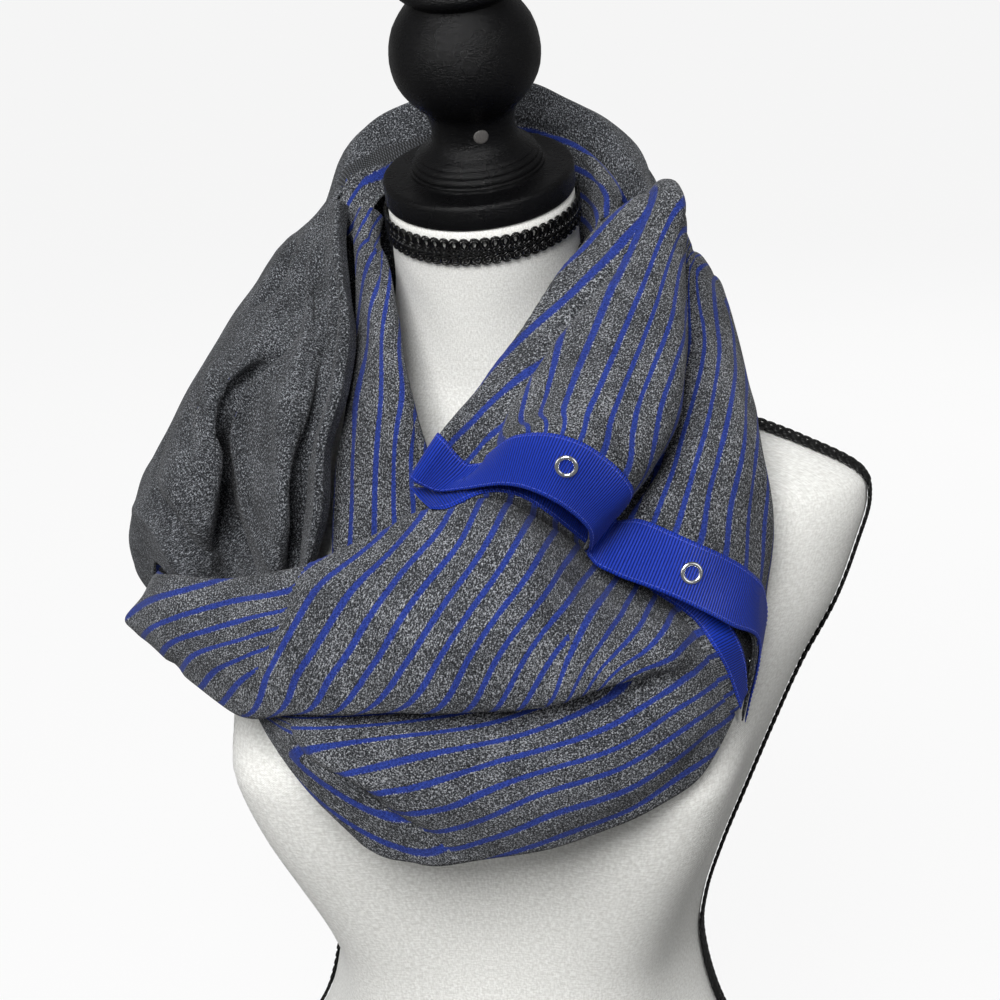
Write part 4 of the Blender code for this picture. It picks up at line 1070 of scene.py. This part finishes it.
drape_creases = (
    (-10.0, 4.5, (0.3, 4.0), (0.6, 4.3), (0.9, 4.6), (1.3, 5.1), (1.6, 5.6)),
    (-4.0, 5.0, (0.3, 2.8), (0.9, 3.2), (1.6, 3.4), (2.3, 3.5)),
    (2.4, 4.0, (2.4, 5.7), (2.9, 5.5), (3.4, 5.05), (4.0, 4.9), (4.8, 4.85), (5.6, 5.25)),
    (-2.6, 4.0, (2.3, 5.3), (2.9, 5.1), (3.5, 4.9)),
    (5.0, 4.0, (2.5, 3.6), (2.95, 3.95), (3.5, 4.0), (4.3, 3.7), (5.0, 3.55), (5.5, 3.15), (5.8, 2.7)),
    (-5.0, 4.0, (2.0, 3.6), (2.6, 3.95), (3.0, 4.25)),
    (-15.0, 5.0, (2.45, 4.1), (3.25, 4.6), (3.7, 4.65), (4.3, 4.3), (5.0, 4.3), (5.6, 4.7)),
    (-8.0, 4.0, (4.7, 4.05), (5.2, 3.9), (5.6, 3.7), (5.95, 3.4)),
    (3.4, 3.5, (4.6, 4.15), (4.95, 4.0), (5.3, 4.05), (5.9, 4.3)),
    (-12.0, 4.8, (0.8, 2.3), (1.6, 2.7), (2.7, 2.9), (3.65, 2.7), (4.5, 2.4), (5.3, 2.2), (5.8, 2.0)),
    (-6.0, 3.4, (1.0, 1.45), (1.8, 1.6), (3.1, 1.75), (3.7, 1.85), (4.3, 2.0)),
    (1.4, 2.2, (0.1, 1.0), (1.5, 1.0), (3.0, 1.0), (4.5, 1.0), (5.9, 1.0)),
    (2.0, 5.0, (2.2, 3.1), (3.0, 3.25), (4.0, 3.15), (5.2, 2.75)),
    (-2.2, 7.0, (3.0, 6.4), (3.8, 6.5), (4.8, 6.4)),
    (-2.2, 7.0, (0.5, 6.4), (1.6, 6.8), (2.8, 7.2)),
    (-2.6, 7.0, (0.2, 8.3), (1.3, 8.3), (2.6, 8.2), (4.0, 8.0), (5.2, 8.0)),
    (-1.8, 6.0, (0.8, 7.4), (2.0, 7.6), (3.4, 7.6), (4.8, 7.5)),
    (3.4, 4.2, (4.5, 7.3), (5.0, 6.8), (5.4, 6.3), (5.8, 5.7), (5.92, 5.0), (5.94, 4.3)),
    (-6.5, 4.5, (4.6, 6.5), (5.05, 6.1), (5.4, 5.6), (5.62, 4.9)),
    (-1.6, 5.0, (3.2, 5.9), (4.0, 5.7), (4.9, 5.6)),
)
rows, columns, cloth = creased(left_outer_drape, drape_creases, 190, 172, side=-1, uneven=0.4)
drape = make_sheet("shoulder_drape", cloth, [face_knit, back_knit], way_across(cloth))
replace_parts(drape, "left_outer_drape")


def strip_between(name, lines, columns, finishes, thickness, across=None):
    """A strip of cloth through lines of points that lie side by side."""
    grid = np.swapaxes(spline(np.stack(lines), np.linspace(0, len(lines) - 1, columns)), 0, 1)
    across = way_across(grid) if across is None else across
    return make_sheet(name, grid, finishes, across, thickness=thickness)


# Behind the shoulder the drape runs on into the outer turn, in a shallow fold. Its last rail
# meets the turn's last, and the rail where it starts is the same on both.
fold_start = 2.6
fold_sag = 1.5
fold_thickness = 1.0
fold_rails = np.linspace(fold_start, 9.0, 80)
meeting_rails = np.interp(fold_rails, (fold_start, 9.0), (fold_start, 11.0))
drape_side = grid_of(left_outer_drape, np.array([0.0, 0.05, 0.1]), fold_rails)
turn_side = strand_surface(np.array([0.5, 0.55, 0.6]), meeting_rails)
fold_middle = (drape_side[0] + turn_side[0]) / 2 - (0.0, 0.0, fold_sag)
fold = strip_between("fold_behind_shoulder",
                     [drape_side[2], drape_side[0], fold_middle, turn_side[0], turn_side[2]],
                     25, [back_knit], fold_thickness)

# ------------------------------------------------- inner turn beside the neck, striped
# The inner turn where it comes down beside the neck on the right, face out.
left_inner_strand = (
    # section, then outer edge, outer, middle, crown, inner roll, tuck
    ("nape", (-67, 8, 612), (-62, 2, 614), (-58, 0, 614), (-55, 2, 612), (-53, 6, 608), (-57, 14, 602)),
    ("collar", (-67, 0, 600), (-61, -8, 602), (-57, -11, 601), (-54, -9, 599), (-53, -3, 596),
     (-58, 6, 591)),
    ("neck", (-66, -6, 587), (-60, -16, 589), (-51, -24, 590), (-45, -30, 590), (-43, -28, 588),
     (-50, -14, 582)),
    ("throat", (-61, -30, 557), (-53, -42, 559), (-45, -53, 561), (-36, -58, 560), (-33, -52, 555),
     (-41, -38, 549)),
    ("chest", (-61, -54, 527), (-52, -66, 530), (-39, -76, 532), (-27, -80, 533), (-23, -75, 529),
     (-31, -60, 522)),
    ("fold", (-65, -72, 496), (-54, -79, 499), (-38, -85, 501), (-24, -87, 505), (-16, -82, 508),
     (-19, -66, 501)),
    ("pocket", (-67, -80, 452), (-56, -86, 456), (-40, -90, 462), (-24, -92, 470), (-12, -90, 481),
     (-10, -78, 480)),
)
inner_stripes = (
    ("nape", -2.6, -1.9, -1.2, -0.5, 0.2, 0.8),
    ("collar", -1.5, -0.8, -0.1, 0.7, 1.5, 2.1),
    ("neck", -0.3, 0.5, 1.3, 2.2, 3.0, 3.6),
    ("throat", 0.9, 1.6, 2.5, 3.5, 4.35, 5.0),
    ("chest", 1.5, 2.05, 2.85, 4.0, 4.9, 5.5),
    ("fold", 1.05, 2.0, 3.2, 4.8, 6.0, 6.6),
    ("pocket", 1.0, 2.0, 3.2, 4.7, 6.0, 6.6),
)
inner_creases = (
    (-1.6, 3.0, (0.2, 2.6), (1.4, 2.4), (2.6, 2.3), (3.8, 1.9)),
    (-2.0, 3.0, (3.6, 3.7), (4.5, 3.6), (5.2, 3.5), (5.8, 3.3)),
    (-1.6, 3.0, (4.2, 0.9), (5.0, 0.8), (5.9, 0.9)),
    (1.0, 4.0, (3.6, 2.6), (4.6, 2.6), (5.8, 2.4)),
)
rows, columns, cloth = creased(left_inner_strand, inner_creases, 150, 60, uneven=0.3)
strand = make_sheet("inner_strand", cloth, [face_knit, back_knit],
                    grid_of(inner_stripes, rows, columns) * stripe_pitch)
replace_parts(strand, "left_inner_strand")

# ------------------------------------------------------ inner turn behind the neck
# The inner turn behind the neck, folded small between the neck and the outer turn.
back_inner_turn = (
    # section, then bottom, ridge, groove, ridge, top, tuck
    ("left", (-53, 28, 582), (-56, 30, 591), (-55, 34, 598), (-57, 37, 604), (-58, 40, 610),
     (-63, 47, 606)),
    ("left back", (-42, 48, 590), (-44, 50, 599), (-43, 54, 605), (-45, 55, 611), (-45, 58, 618),
     (-49, 66, 613)),
    ("back", (-2, 57, 601), (-2, 58, 611), (-2, 62, 618), (-2, 60, 627), (-2, 60, 638), (-2, 66, 634)),
    ("back right", (24, 51, 596), (25, 51, 608), (25, 55, 617), (26, 53, 628), (26, 51, 641),
     (29, 57, 637)),
    ("right back", (44, 36, 590), (46, 36, 603), (46, 41, 611), (48, 40, 621), (46, 44, 633),
     (51, 48, 628)),
    ("right", (53, 14, 584), (55, 14, 594), (55, 18, 601), (57, 20, 608), (60, 25, 618), (66, 32, 614)),
    ("end", (52, -2, 575), (54, -2, 583), (55, 1, 590), (57, 2, 597), (60, 6, 605), (65, 12, 602)),
)
first_stripe = 0.2
turn_creases = (
    (-1.4, 2.6, (0.3, 1.5), (1.5, 1.6), (3.0, 1.5), (4.4, 1.5), (5.6, 1.6)),
    (-1.4, 2.6, (0.3, 3.4), (1.6, 3.3), (3.0, 3.4), (4.5, 3.3), (5.7, 3.2)),
    (1.0, 2.6, (2.4, 2.5), (3.4, 2.5), (4.6, 2.4), (5.8, 2.4)),
)
rows, columns, cloth = creased(back_inner_turn, turn_creases, 130, 48, uneven=0.25)
inner_turn = make_sheet("inner_turn_behind_neck", cloth, [face_knit, back_knit],
                        way_across(cloth) + first_stripe * stripe_pitch)
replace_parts(inner_turn, "back_inner_turn")

# ---------------------------------------------------------------------- ribbons
# Grosgrain ribbon 25 mm wide binds each end of the scarf: royal blue viscose with cross ribs
# 1.45 mm apart, folded over the cut edge and stitched 1.6 mm from its own edge.
rib_mm = 1.45
sway_mm = 0.6
sways_a_metre = 60.0
silk_a_metre = (2200.0, 500.0, 1.0)
ribbon_thickness = 0.8
ribbon_gap = 0.35

# Viscose grosgrain: a fat cotton weft under a shiny warp gives round cross ribs. Their crowns are painted a
# lighter blue, as painted light, and the lines between them a dark blue, as painted shade.
grosgrain, tree, shader = new_finish("royal blue grosgrain", Roughness=0.5, Sheen_Weight=0.04,
                                     Sheen_Roughness=0.4, Specular_IOR_Level=0.28)
where = add(tree, "UVMap", uv_map="cloth")
apart = add(tree, "SeparateXYZ", {"Vector": where})
silk_way = add(tree, "Mapping", {"Vector": where, "Scale": silk_a_metre})
silk = add(tree, "TexNoise", {"Vector": silk_way, "Scale": 1.0, "Detail": 3.0})
sway = add(tree, "TexNoise", {"Vector": where, "Scale": sways_a_metre, "Detail": 2.0})
shifted = add(tree, "Math", {0: sway, 1: sway_mm * MM, 2: apart.outputs["Y"]}, operation="MULTIPLY_ADD")
rib = add(tree, "Math", {0: ripple(tree, shifted, 2 * rib_mm)}, operation="ABSOLUTE")
# Painted light and shade: the rib crowns take the lighter blue and the grooves between the ribs the dark
# blue.
rib_light_mask = add(tree, "MapRange", {"Value": rib, "From Min": 0.05, "From Max": 0.75})
groove_painted_shade = add(tree, "Mix", {0: silk, 6: "#05082E", 7: "#090E42"}, data_type="RGBA")
bright = add(tree, "Mix", {0: silk, 6: "#0C2690", 7: "#1840BC"}, data_type="RGBA")
tone = add(tree, "Mix", {0: rib_light_mask, 6: groove_painted_shade, 7: bright}, data_type="RGBA")
height = add(tree, "Math", {0: silk, 1: 0.25, 2: rib}, operation="MULTIPLY_ADD")
dent = add(tree, "Bump", {"Strength": 0.75, "Distance": 0.5 * MM, "Height": height})
join(tree, shader, {"Base Color": tone, "Normal": dent})

binding_sections = np.linspace(12.0, 13.02, 26)
binding_rails = np.linspace(0.86, 11.0, 460)
bound_cloth = strand_surface(binding_sections, binding_rails)
binding = bound_cloth + facing(bound_cloth) * (cloth_thickness / 2 + ribbon_gap + ribbon_thickness / 2)
upper_ribbon = make_sheet("binding_of_snap_end", binding, [grosgrain],
                          way_along(binding), along=way_across(binding)[:1], thickness=ribbon_thickness)
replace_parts(upper_ribbon, "ribbon_upper")

lower_ribbon = (
    # section, then lower edge, middle, upper edge
    ("left end", (-6, -121, 491), (-13, -112, 493), (-19, -104, 496)),
    ("left", (3, -122, 492), (-3, -111, 494), (-9, -101, 496)),
    ("peek", (19, -118, 498), (15, -111, 501), (11, -102, 503)),
    ("peek end", (34, -117, 497), (32, -112, 502), (30, -105, 506)),
    ("under", (49, -114, 487), (51, -110, 492), (52, -105, 498)),
    ("valley", (67, -92, 462), (69, -89, 467), (72, -85, 472)),
    ("hidden", (92, -93, 444), (95, -91, 450), (98, -88, 455)),
    ("corner", (112, -96, 431), (116, -94, 435), (120, -90, 438)),
    ("right", (123, -107, 421), (127, -102, 422), (132, -95, 423)),
    ("right low", (129, -103, 407), (132, -97, 407), (136, -89, 407)),
    ("right end", (134, -93, 384), (135, -88, 387), (136, -82, 388)),
)
rows = np.linspace(0, 10, 220)
columns = np.linspace(-0.05, 2.05, 16)
under = grid_of(lower_ribbon, rows, columns)
under_ribbon = make_sheet("binding_of_under_end", under, [grosgrain],
                          way_across(under), thickness=ribbon_thickness)
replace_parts(under_ribbon, "ribbon_lower")

# The cloth of the under end runs on beneath its binding: it leaves the band along the band's
# upper rim and its end, rises to the ribbon's lower edge and goes on behind the ribbon.
hem_places = (
    # row of the ribbon, then the section and the rail of the band below it
    (0.9, 5.2, 0.95), (2.0, 5.8, 0.95), (3.0, 6.15, 0.95), (4.0, 6.45, 0.95), (5.0, 6.95, 0.95),
    (6.0, 7.8, 0.95), (7.0, 8.75, 1.6), (8.0, 8.9, 4.2), (9.0, 8.9, 7.0), (10.0, 8.9, 9.8),
)
hem_behind = 1.3
hem_rails = np.array([0.0, 0.5, 1.2])
edge_thickness = 1.2
steps = np.linspace(0, len(hem_places) - 1, 200)
ribbon_rows, band_sections, band_rails = spline(hem_places, steps).T
ribbon_side = grid_of(lower_ribbon, ribbon_rows, hem_rails)
ribbon_side = (ribbon_side - facing(ribbon_side) * hem_behind).swapaxes(0, 1)
around = np.array([-0.05, 0.0, 0.05])
band_side = []
band_numbers = []
for section, rail in zip(band_sections, band_rails):
    patch = grid_of(front_band, section + around, rail + around)
    band_side.append(patch[1, 1] + facing(patch)[1, 1] * hem_behind)
    band_numbers.append(grid_of(band_stripes, np.array([section]), np.array([rail]))[0])
band_side = np.array(band_side)
hem = strip_between("hem_of_under_end", [band_side, (band_side + ribbon_side[0]) / 2, *ribbon_side],
                    17, [face_knit, back_knit], edge_thickness,
                    across=np.array(band_numbers) * stripe_pitch)

# Where the snap end turns its lower corner its reverse shows behind the ribbons, in a hollow.
corner_rails = np.linspace(9.2, 10.8, 40)
corner_behind = 1.6
corner_hollow = (-4.0, 16.0, 2.0)
corner_side = strand_surface(np.array([12.2, 12.6, 12.98]), corner_rails)
corner_side = corner_side - facing(corner_side) * corner_behind
inner_side = grid_of(lower_ribbon, np.linspace(6.9, 9.8, 40), np.array([1.7, 1.9, 2.0]))
inner_side = (inner_side - facing(inner_side) * corner_behind)[:, 1]
hollow = np.linspace(1.0, 0.1, 40)[:, None] * corner_hollow
turned_corner = strip_between(
    "turned_corner_of_snap_end",
    [inner_side, inner_side + hollow, corner_side[1] + hollow, corner_side[1], corner_side[2]],
    33, [back_knit], edge_thickness)

# Polyester sewing thread, a shade lighter than the ribbon, in stitches 2.1 mm long with
# 0.7 mm between them. Each rises from the ribbon and dips into it at both ends.
stitch_mm = 2.8
stitch_gap_mm = 0.7
stitch_radius = 0.2
stitch_inset = 1.6
stitch_arch = (-0.15, 0.12, 0.18, 0.12, -0.15)
twist_grains = (2400.0, 2400.0, 2400.0)
thread, _ = mottled("blue polyester thread", "#1A2A94", "#4562E0", twist_grains, 1.0,
                    Roughness=0.4, Sheen_Weight=0.2)


def stitch_line(path, normal):
    """Stitches along a path in mm."""
    way = way_of(path)
    parts = []
    start = stitch_mm
    while start + stitch_mm < way[-1]:
        at = np.linspace(start, start + stitch_mm - stitch_gap_mm, len(stitch_arch))
        points, lift = (np.stack([np.interp(at, way, values) for values in line.T], axis=1)
                        for line in (path, normal))
        parts.append(tube(points + lift * np.array(stitch_arch)[:, None], stitch_radius, 5))
        start += stitch_mm
    return parts


def inset_row(grid, inset):
    """The row of a grid that lies an inset in mm from its first row, or from its last."""
    width = way_along(grid)[:, 0]
    target = inset if inset > 0 else width[-1] + inset
    return float(np.interp(target, width, np.arange(len(width))))


parts = []
for ribbon, side in ((binding, 1), (under.swapaxes(0, 1), -1)):
    for inset in (stitch_inset, -stitch_inset):
        row = np.array([inset_row(ribbon, inset)])
        out = side * spline(facing(ribbon), row)[0]
        parts += stitch_line(spline(ribbon, row)[0] + out * ribbon_thickness / 2, out)
points, faces = bundle(parts)
stitches = make_piece("binding_stitches", points, faces, [thread])

# ------------------------------------------------------------------------- snaps
# Open-ring snap caps, 11 mm across: rings of nickel plated brass pressed through the ribbon
# into their sockets behind it. The ribbon shows through the ring.
snap_places = {"snap_1": (12.46, 4.0), "snap_2": (12.5, 8.15)}
snap_sides = 48
snap_profile = (
    # radius, height
    (3.3, -0.3), (3.25, 0.25), (3.4, 0.62), (3.75, 0.95), (4.3, 1.12), (4.75, 1.05),
    (5.2, 0.75), (5.45, 0.35), (5.5, 0.0), (5.45, -0.3),
)

# Bright nickel plate over stamped brass: mirror-like, with faint swirls from tumbling.
swirl_grains = (900.0, 900.0, 900.0)
nickel, swirl = mottled("bright nickel plate", "#D2D4D6", "#ECEEF0", swirl_grains, 3.0,
                        Metallic=1.0)
tree = nickel.node_tree
rub = add(tree, "MapRange", {"Value": swirl, "To Min": 0.12, "To Max": 0.26})
join(tree, tree.nodes["Principled BSDF"], {"Roughness": rub})


def frame_on_strand(section, rail, lift):
    """Centre, and the directions across, down and out, of a place on the snap end."""
    step = np.array([-0.03, 0.0, 0.03])
    patch = strand_surface(section + step, rail + step)
    out = facing(patch)[1, 1]
    across = patch[1, 2] - patch[1, 0]
    across = across - out * across.dot(out)
    across /= np.linalg.norm(across)
    return patch[1, 1] + out * lift, across, np.cross(out, across), out


def stamped_ring(name, profile, section, rail, lift):
    """A ring of revolution, its profile in mm, on a place of the snap end or, with a lift
    below 0, on its back."""
    centre, across, down, out = frame_on_strand(section, rail, lift)
    way = 1 if lift > 0 else -1
    points = []
    for turn in np.arange(snap_sides) * way * 2 * math.pi / snap_sides:
        spoke = across * math.cos(turn) + down * math.sin(turn)
        points += [centre + spoke * radius + way * out * height for radius, height in profile]
    faces = [(face[0], *face[:0:-1]) for face in ring_faces(snap_sides, len(profile), True)]
    return make_piece(name, points, faces, [nickel])


ring_play = 0.1
ring_lift = cloth_thickness / 2 + ribbon_gap + ribbon_thickness + ring_play
for node, (section, rail) in snap_places.items():
    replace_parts(stamped_ring(f"{node}_ring", snap_profile, section, rail, ring_lift), node)

# The back of a third snap, 6 mm across, shows on the turned corner: its prongs are pressed
# flat into a small domed cap.
back_place = (12.62, 10.5)
back_lift = -2.6
back_profile = ((0.25, -0.2), (0.25, 1.0), (1.3, 0.95), (2.3, 0.7), (2.9, 0.2), (2.95, -0.2))
stamped_ring("snap_back", back_profile, *back_place, back_lift)
